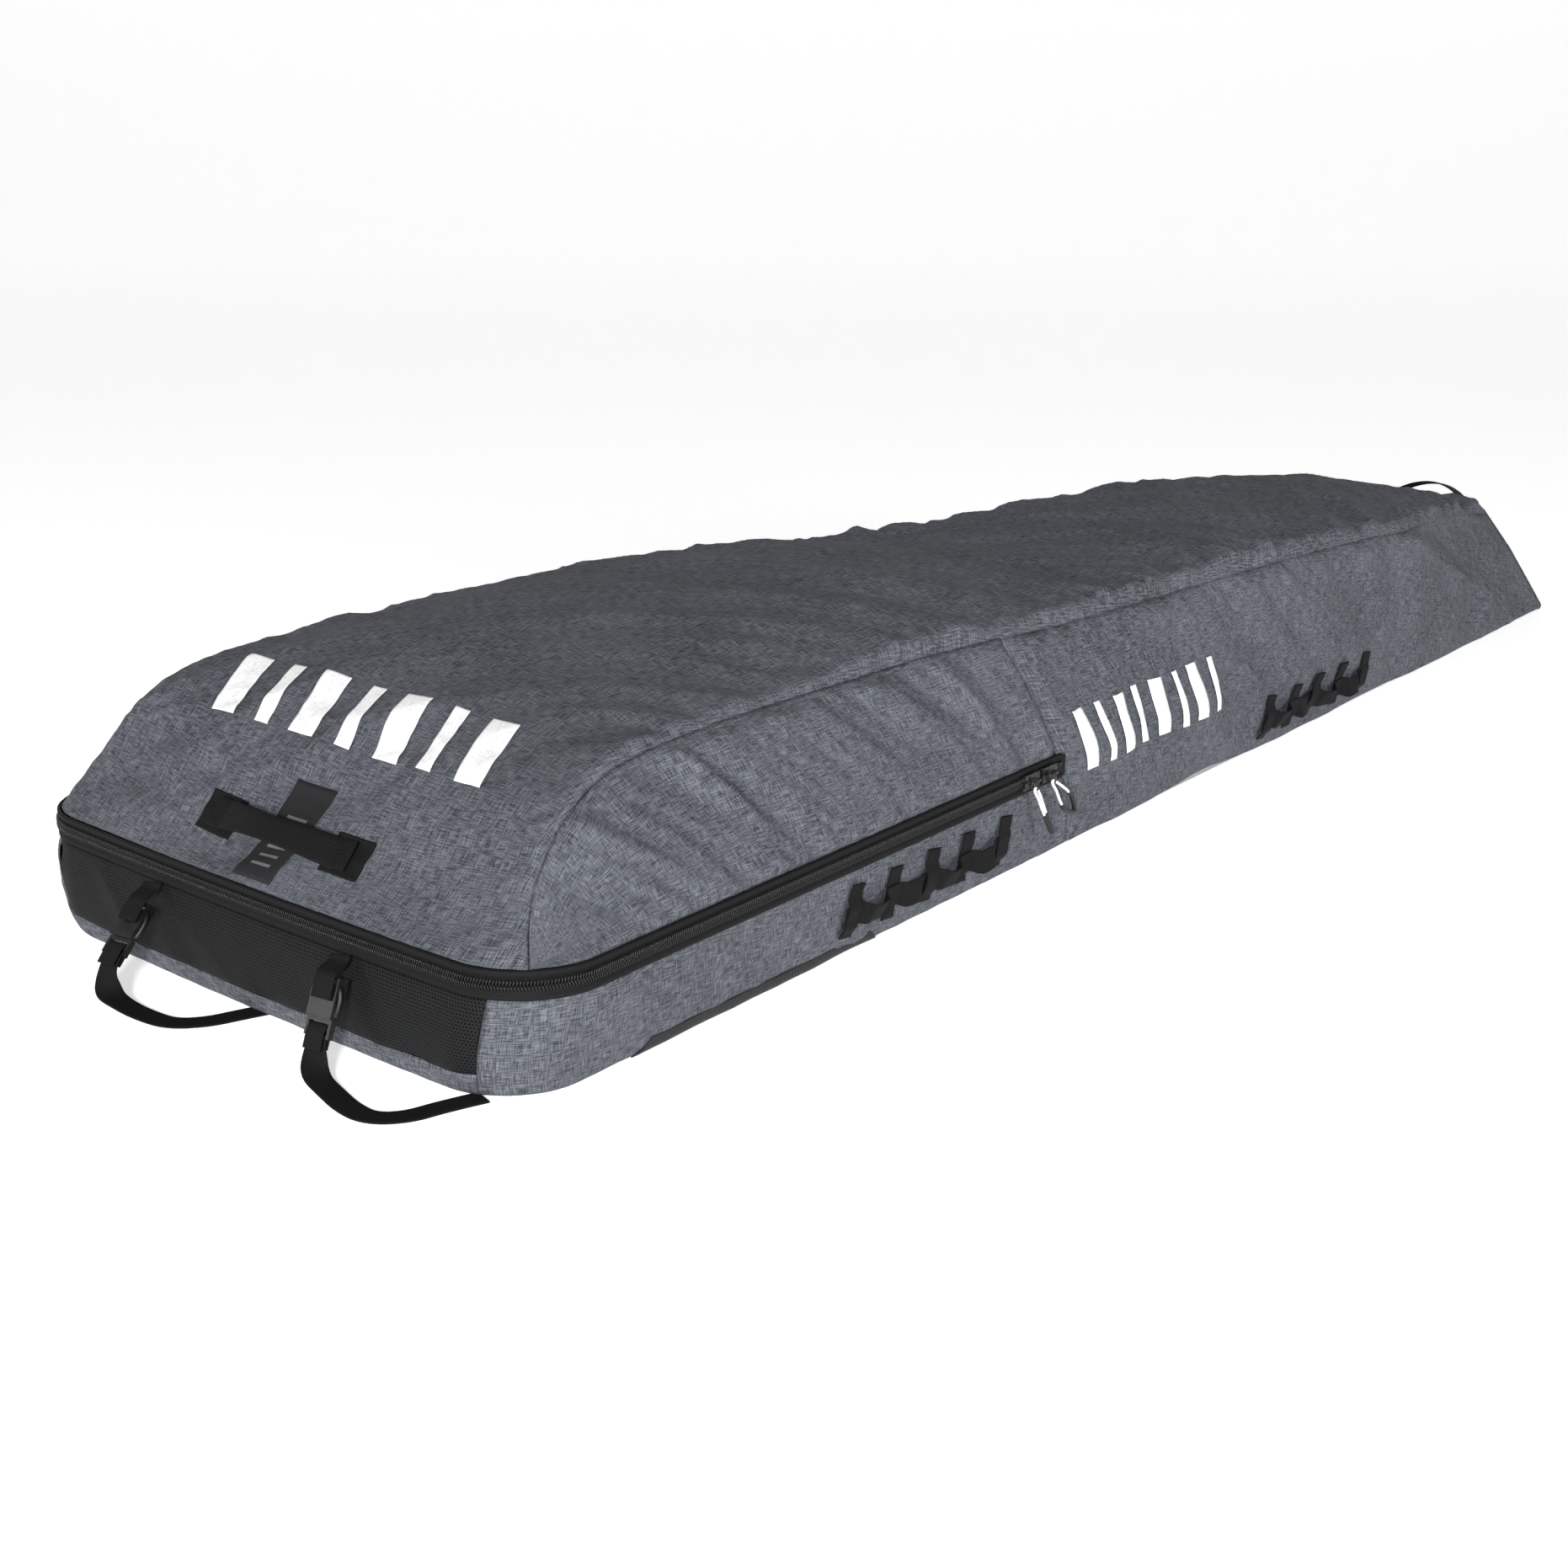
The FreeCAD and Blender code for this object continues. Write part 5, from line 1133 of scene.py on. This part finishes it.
def side_handle(place, word, sign):
    """One webbing woven under and over five upright tabs."""
    handle = f"handle_{place}_{word}"
    low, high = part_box(handle + "_loops")
    pitch = 0.055
    p0, along, up, out = wall_axes((low.x + high.x) / 2, 0.043, sign)
    # the webbing bulges between the tabs
    s = np.linspace(-0.118, 0.118, 120)
    phase = (s + 0.110) / pitch
    near = np.abs(phase - np.round(phase)) * pitch
    open_ = smoothstep(0.009, 0.020, near) * (np.abs(s) < 0.1095)
    swing = 6.5 * MM * open_ * (0.75 + 0.35 * np.sin(phase * 2.2 + 1))
    sag = -2.5 * MM * open_ + 2.0 * MM * np.sin(phase * 1.9)
    tilt = 0.35 * np.sin(phase * np.pi) * open_
    line = p0 + along * s[:, None] + up * (sag[:, None] - 3.0 * MM) + out * (STANDS_OUT + swing)[:, None]
    across = up * np.cos(tilt)[:, None] + out * np.sin(tilt)[:, None]
    webbing = ribbon(handle + "_strap", over_wall(line, sign), across, 0.020, 1.5 * MM, WEBBING)
    settle(webbing, "webbing", "root", handle + "_webbing")
    for i, slant in enumerate((0.18, 0.10, 0.14, 0.08, 0.16)):
        base = p0 + along * (pitch * (i - 2))
        over = i % 2 == 0
        h = np.linspace(-0.0215, 0.0245, 24)
        cross = np.exp(-((h + 0.003) / 0.0125) ** 6)
        lift = 1.4 * MM + (3.4 * MM if over else -0.4 * MM) * cross + 0.4 * MM * np.sin(h * 300 + i)
        line = base + up * h[:, None] + along * (h * slant)[:, None] + out * lift[:, None]
        tab = ribbon(f"{handle}_tab_{i + 1}", over_wall(line, sign), along + 0 * line, 0.0180, 1.5 * MM, WEBBING)
        settle(tab, "webbing", "root", *([handle + "_loops"] if i == 0 else []))


for place in ("front", "rear"):
    for word, sign in SIDES:
        side_handle(place, word, sign)


# ---- Grab handle, label and patches on the front slope, and the tail handle ----
def top_at(s_row, y):
    """A point of the top, its uphill and its outward direction, at a row length and a distance across."""
    row = int(np.clip(np.searchsorted(seam_s, s_row) - 1, 1, TOP_ROWS - 3))
    between = (s_row - seam_s[row]) / (seam_s[row + 1] - seam_s[row])
    points = []
    for r in (row, row + 1):
        share = (y / edge_y[r] + 1) / 2 * (TOP_COLUMNS - 1)
        j = int(np.clip(share, 0, TOP_COLUMNS - 2))
        points.append(top_points[r, j] * (1 - share + j) + top_points[r, j + 1] * (share - j))
    point = points[0] * (1 - between) + points[1] * between
    uphill = unit(top_points[row + 2, j] - top_points[row - 1, j])
    out = np.cross(uphill, unit(top_points[row, j + 1] - top_points[row, j]))
    return point, uphill, out if out[2] > 0 else -out


def draped(name, s_from, s_to, y_from, y_to, lift, material, rows=24, columns=24, slant=0.0, thick=0.0008):
    """A patch that follows the top's surface between two rows and two distances across."""
    points = np.zeros((rows, columns, 3))
    uv = np.zeros((rows, columns, 2))
    for i, s in enumerate(np.linspace(s_from, s_to, rows)):
        for j, y in enumerate(np.linspace(y_from, y_to, columns)):
            point, _, out = top_at(s, y + (s - s_from) * slant)
            points[i, j] = point + out * lift
            uv[i, j] = (y - y_from, s - s_from)
    return sheet_piece(name, points, material, thick=thick, uv=uv)


def row_at_height(z):
    """The row length at which the front slope's middle reaches a height."""
    return float(np.interp(z, mid_z[: TOP_ROWS // 3], seam_s[: TOP_ROWS // 3]))


handle_row = row_at_height(0.128)
for word, sign in SIDES:
    y = sign * 0.078
    patch = draped("grab_patch_" + word, handle_row - 0.017, handle_row + 0.017, y - 0.020, y + 0.020, 1.6 * MM,
                   WEBBING, thick=0.0016)
    settle(patch, "webbing", "lid", "handle_patch_" + word)

label = draped("label", row_at_height(0.104), row_at_height(0.163), -0.023, 0.023, 1.3 * MM, LABEL)
settle(label, "label_cloth", "lid", "label_patch")


def grab_strap():
    """The lid's padded handle, that stands up from its two patches."""
    start, uphill, out = top_at(handle_row, -0.084)
    finish = start * [1, -1, 1]
    share = np.linspace(0, 1, 60)
    lift = 3.6 * MM + 17.0 * MM * np.clip(wave(np.clip((share - 0.10) / 0.80, 0, 1)), 0, 1) ** 0.75
    bow = -6 * MM * wave(share)
    line = start + (finish - start) * share[:, None] + out * lift[:, None] + uphill * bow[:, None]
    folded = np.stack([1 - 0.18 * wave(share) ** 2, 0 * share + 1], -1)[:, None]
    section = flat_section(0.026, 2.4 * MM)
    rings = swept(line, *frames_along(line, np.tile(uphill, (60, 1))), folded * section)
    piece = ringed("grab_strap", rings, share * 0.17, np.linspace(0, 0.05, len(section)), WEBBING)
    low = start + out * 4 * MM
    high = start + out * 15 * MM
    tuple(low * [1, 0, 1])
    tuple(high * [1, 0, 1])
    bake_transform(piece)
    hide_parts("grab_handle")


grab_strap()


def tail_strap():
    """The loop across the top of the tail's end."""
    low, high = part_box("tail_handle")
    x = (low.x + high.x) / 2 - 0.004
    share = np.linspace(0, 1, 60)
    y = np.linspace(low.y, high.y, 60)
    base = low.z + 0.002
    rise = high.z - low.z - 0.010
    z = base + rise * wave(share) ** 0.7
    line = np.stack([x + 0.010 * wave(share), y, z], -1)
    piece = ribbon("tail_strap", line, np.tile([0.97, 0, -0.24], (60, 1)), 0.019, 1.6 * MM, WEBBING)
    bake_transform(piece)
    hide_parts("tail_handle")


tail_strap()


# ---- Prints: plain slanted bars on the lid and on the side ----
PRINT_LOW = row_at_height(0.186)
PRINT_SLANT = 0.35
for k in range(7):
    y = -0.150 + 0.050 * k
    width = 0.016 if k % 2 else 0.030
    bar = draped(f"lid_print_{k + 1}", PRINT_LOW, PRINT_LOW + 0.066, y - width / 2, y + width / 2, 1.2 * MM, INK,
                 rows=44, columns=14, slant=PRINT_SLANT, thick=0.0005)
    settle(bar, "outer_cloth", "lid")


def side_print():
    """Slanted bars on the right rear side, that follow its surface."""
    grid = rear_right[:, 2:]
    n = grid_normals(grid)
    n *= -np.sign(np.sum(n[..., 1]))
    grid, n = grid.reshape(-1, 3), n.reshape(-1, 3)
    for k in range(8):
        x_mid = -0.215 + 0.034 * k
        width = 0.010 if k % 2 else 0.019
        rows, columns = 24, 6
        points = np.zeros((rows, columns, 3))
        for i, z in enumerate(np.linspace(0.078, 0.134, rows)):
            for j, dx in enumerate(np.linspace(-width / 2, width / 2, columns)):
                x = x_mid + dx - (z - 0.106) * PRINT_SLANT
                # the wall there, from its four nearest points
                d = (grid[:, 0] - x) ** 2 + (grid[:, 2] - z) ** 2
                near = np.argsort(d)[:4]
                w = 1 / (d[near] + 1e-8)
                w /= w.sum()
                points[i, j] = [x, w @ grid[near, 1], z] + (w @ n[near]) * 1.1 * MM
        bar = sheet_piece(f"side_print_{k + 1}", points, INK, thick=0.0005)
        settle(bar, "outer_cloth", "root")


side_print()

# Rub patches
for word, sign in SIDES:
    low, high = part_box("rub_patch_" + word)
    rows = []
    for z in np.linspace(1.0 * MM, 14 * MM, 9):
        lean = (z - 0.002) * 1.2
        x = np.linspace(low.x + lean, high.x - lean, 60)
        y = half_at(z, x) - under_edge(z) + 2.6 * MM + 1.4 * MM * crease(x / 0.10, z / 0.10, 111)
        rows.append(np.stack([x, sign * y, z + 0 * x], -1))
    grid = np.stack(rows, 1)
    patch = sheet_piece("rub_cloth_" + word, grid, RUB, flip=sign > 0)
    settle(patch, "rub_cloth", "root", "rub_patch_" + word)

# ---- Nodes that keep their CAD shape ----
FINISH = {
    "padding": FOAM, "lining": LINING, "webbing": WEBBING, "zip_tape": TAPE, "zip_coil": COIL, "base_cloth": BASE_CLOTH,
    "rub_cloth": RUB, "buckle_plastic": BUCKLE, "slider_metal": PAINT, "pull_cord": CORD, "pull_rubber": SLEEVE,
    "label_cloth": LABEL, "outer_cloth": CLOTH, "mesh": MESH,
}
slot_of = {part["node"]: part["material_slot"] for part in frame["record"]["subparts"]}
for node_name, node in frame["nodes"].items():
    node.data.materials.clear()
    node.data.materials.append(FINISH[slot_of[node_name]])

# ---- Straps on the floor in front of the bag ----
STRAP_ROUTES = {
    "right": [(-0.9865, -0.1311, 0.0273), (-0.9913, -0.1320, 0.0163), (-1.0000, -0.1440, 0.0050),
              (-1.0040, -0.1680, 0.0010), (-1.0120, -0.1960, 0.0010), (-1.0130, -0.2220, 0.0010),
              (-0.9940, -0.2390, 0.0010), (-0.9660, -0.2430, 0.0010), (-0.9360, -0.2515, 0.0010)],
    "left": [(-1.0013, 0.1021, 0.0340), (-1.0096, 0.1011, 0.0254), (-1.0160, 0.0920, 0.0100),
             (-1.0120, 0.0720, 0.0025), (-1.0100, 0.0460, 0.0010), (-1.0060, 0.0220, 0.0010),
             (-0.9860, 0.0060, 0.0010), (-0.9620, 0.0000, 0.0010), (-0.9360, -0.0075, 0.0010)],
}
WEB_WIDTH = 0.020
WEB_THICK = 1.6 * MM


def floor_strap(word):
    """A strap from its buckle down to the floor and back under the bag."""
    line = resample(spline_points(STRAP_ROUTES[word]), 110)
    ahead = unit(np.gradient(line, axis=0))
    # it hangs face forward from the buckle and turns to lie flat on the floor
    hang = np.clip((line[:, 2:] - 0.002) / 0.024, 0, 1)
    level = np.stack([-ahead[:, 1], ahead[:, 0], 0 * ahead[:, 0]], -1)
    size = np.linalg.norm(level, axis=1, keepdims=True)
    level = level / np.maximum(size, 1e-6)
    across = soften(np.array([[0.0, 1.0, 0.0]]) * hang - level * (1 - hang), 10)
    piece = ribbon("floor_strap_" + word, line, across, WEB_WIDTH, WEB_THICK, WEBBING)
    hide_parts("strap_" + word)
    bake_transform(piece)


for word, _ in SIDES:
    floor_strap(word)

# ---- Buckle tabs, side arms and the doubled end of each strap ----
TILTS = {"right": (24.0, 4.0), "left": (44.0, 5.0)}
SOCKET_TOP = {"right": (-0.9683, -0.1280, 0.068), "left": (-0.9703, 0.1060, 0.066)}


def buckle_at(word, x, y, z):
    """A point given along a buckle's own axes: through it, across it and up it."""
    tilt, roll = (math.radians(v) for v in TILTS[word])
    y, z = y * math.cos(roll) + z * math.sin(roll), -y * math.sin(roll) + z * math.cos(roll)
    x, z = x * math.cos(tilt) + z * math.sin(tilt), -x * math.sin(tilt) + z * math.cos(tilt)
    return np.array(SOCKET_TOP[word]) + [x, y, z]


for word, _ in SIDES:
    side_way = buckle_at(word, 0, 1, 0) - buckle_at(word, 0, 0, 0)
    wall = np.array([-0.9575, SOCKET_TOP[word][1] + 0.004, 0.0800])
    down_front = [wall, wall + [-0.003, -0.001, -0.004], buckle_at(word, -6.6 * MM, 0, 1.5 * MM),
                  buckle_at(word, -6.5 * MM, 0, -8 * MM), buckle_at(word, -6.1 * MM, 0, -17 * MM)]
    tab = ribbon("tab_front_" + word, smooth_line(down_front, 30), np.tile(side_way, (30, 1)), 0.0215, 1.8 * MM,
                 WEBBING)
    settle(tab, "webbing", "root", "strap_tab_" + word)
    for sign in (-1, 1):
        arm = [buckle_at(word, x * MM, sign * y * MM, z * MM) for x, y, z in
               ((-1.5, 12.2, -6), (-1.5, 14.6, -9), (-1.0, 15.6, -15), (-0.5, 14.8, -22), (0, 12.4, -27.5))]
        name = f"release_arm_{word}_{'outer' if sign < 0 else 'inner'}"
        piece = tube(name, smooth_line(arm, 24), 1.7 * MM, BUCKLE, 10)
        settle(piece, "buckle_plastic", "plug_" + word)
    folded = [buckle_at(word, 3.3 * MM, 0, -52 * MM), buckle_at(word, 3.4 * MM, 0, -40 * MM),
              buckle_at(word, 1.5 * MM, 0, -34.5 * MM), buckle_at(word, -2.6 * MM, 0, -34.5 * MM),
              buckle_at(word, -3.6 * MM, 0, -40 * MM), buckle_at(word, -3.2 * MM, 0, -54 * MM)]
    wrap = ribbon("strap_fold_" + word, smooth_line(folded, 40), np.tile(side_way, (40, 1)), 0.0195, 1.4 * MM,
                  WEBBING)
    settle(wrap, "webbing", "plug_" + word)

# ---- Zip pulls: white cord and black sleeves ----
ZIP_ALONG = np.array([math.cos(TURN), math.sin(TURN), 0.0])
ZIP_OUT = np.array([math.sin(TURN), -math.cos(TURN), 0.0])
PULLS = {"front": ((-0.3059, -0.2442, 0.090), 33.0), "rear": ((-0.2769, -0.2408, 0.090), 47.0)}


def pull_at(name, down, aside, off=0.0):
    """A point of a hanging pull: how far down it, how far aside, and how far off the wall."""
    hinge, lean = PULLS[name]
    lean = math.radians(lean)
    hang = ZIP_ALONG * math.sin(lean) - np.array([0, 0, math.cos(lean)])
    aside_way = ZIP_ALONG * math.cos(lean) + np.array([0, 0, math.sin(lean)])
    return np.array(hinge) + [0, 0, -7.4 * MM] + hang * down * MM + aside_way * aside * MM + ZIP_OUT * off * MM


def cord_pull(name, cord_points, sleeve_points, sleeve_radius):
    """A slider's white cord loop and its black sleeve."""
    cord = tube("cord_" + name, smooth_line([pull_at(name, *p) for p in cord_points], 60), 1.35 * MM, CORD, 12)
    settle(cord, "pull_cord", "pull_" + name, "pull_cord_" + name)
    line = smooth_line([pull_at(name, *p) for p in sleeve_points], 50)
    ends = np.minimum(np.linspace(0, 1, 50), np.linspace(1, 0, 50))
    radius = sleeve_radius * MM * (0.78 + 0.22 * np.clip(ends / 0.05, 0, 1) ** 0.5)
    sleeve = tube("sleeve_" + name, line, radius, SLEEVE, 16)
    settle(sleeve, "pull_rubber", "pull_" + name, "pull_sleeve_" + name)


cord_pull("front",
          [(33, 1.3), (20, 1.5, 0.4), (8, 2.0, 0.8), (0, 2.2), (-3, 0, 0), (0, -2.2), (8, -1.2, 0.2), (20, -1.4),
           (33, -1.3)],
          [(30, 0), (40, 0.3), (55, 0.0)], 2.9)
cord_pull("rear",
          [(32, 7.2), (22, 5.6, 1.5), (9, 3.0, 2.0), (0, 2.0), (-3, 0, 0), (0, -2.0), (9, -3.6, 1.0),
           (21, -6.6, 0.5), (31, -7.4)],
          [(28, 7.0), (36, 7.4), (46, 4.0), (53, 0.5), (53, -0.5), (46, -4.4), (35, -7.6), (27, -7.2)], 2.3)

# ---- Floor, backdrop and light ----
stage_shader = Shader("studio_floor", roughness=0.9, color=(0.86, 0.86, 0.86), specular=0.1)
stage_shader.bsdf.inputs["Emission Color"].default_value = (1, 1, 1, 1)
stage_shader.bsdf.inputs["Emission Strength"].default_value = 0.56
# The floor runs under the bag and turns up behind it, square to the camera
view = Vector((math.cos(HEADING), math.sin(HEADING), 0))
cross_view = Vector((-view.y, view.x, 0))
SWEEP, EXTENT = 2.5, 30.0
angles = [k * math.pi / 16 for k in range(9)]
profile = [(-EXTENT, 0.0)] + [(5.0 + SWEEP * math.sin(a), SWEEP - SWEEP * math.cos(a)) for a in angles] + [(7.5, 7.0)]
stage_verts = []
for reach, height in profile:
    for aside in (-EXTENT, EXTENT):
        point = view * reach + cross_view * aside
        stage_verts.append((point.x, point.y, height))
stage_faces = [(2 * k, 2 * k + 2, 2 * k + 3, 2 * k + 1) for k in range(len(profile) - 1)]
backdrop = piece_from("studio_floor", stage_verts, stage_faces, None, stage_shader.material)


def soft_light(name, place, aim, size, power):
    """A rectangular soft light that faces a point."""
    data = bpy.data.lights.new(name, "AREA")
    data.shape = "RECTANGLE"
    data.size, data.size_y = size
    data.energy = power
    light = bpy.data.objects.new(name, data)
    light.location = place
    direction = Vector(aim) - Vector(place)
    light.rotation_euler = direction.to_track_quat("-Z", "Y").to_euler()
    bpy.context.scene.collection.objects.link(light)


soft_light("key", (-4.0, -2.7, 1.5), (-0.5, -0.1, 0.1), (0.6, 0.5), 265)
soft_light("side", (0.4, -3.8, 0.8), (0.1, 0.0, 0.1), (1.0, 0.6), 62)
soft_light("front", (-3.8, 1.8, 0.8), (-0.9, 0.0, 0.1), (1.0, 0.7), 34)

bpy.context.scene.view_settings.view_transform = "Standard"

world = bpy.data.worlds.new("studio")
world.use_nodes = True
background = world.node_tree.nodes["Background"]
background.inputs["Color"].default_value = (1, 1, 1, 1)
background.inputs["Strength"].default_value = 0.10
bpy.context.scene.world = world
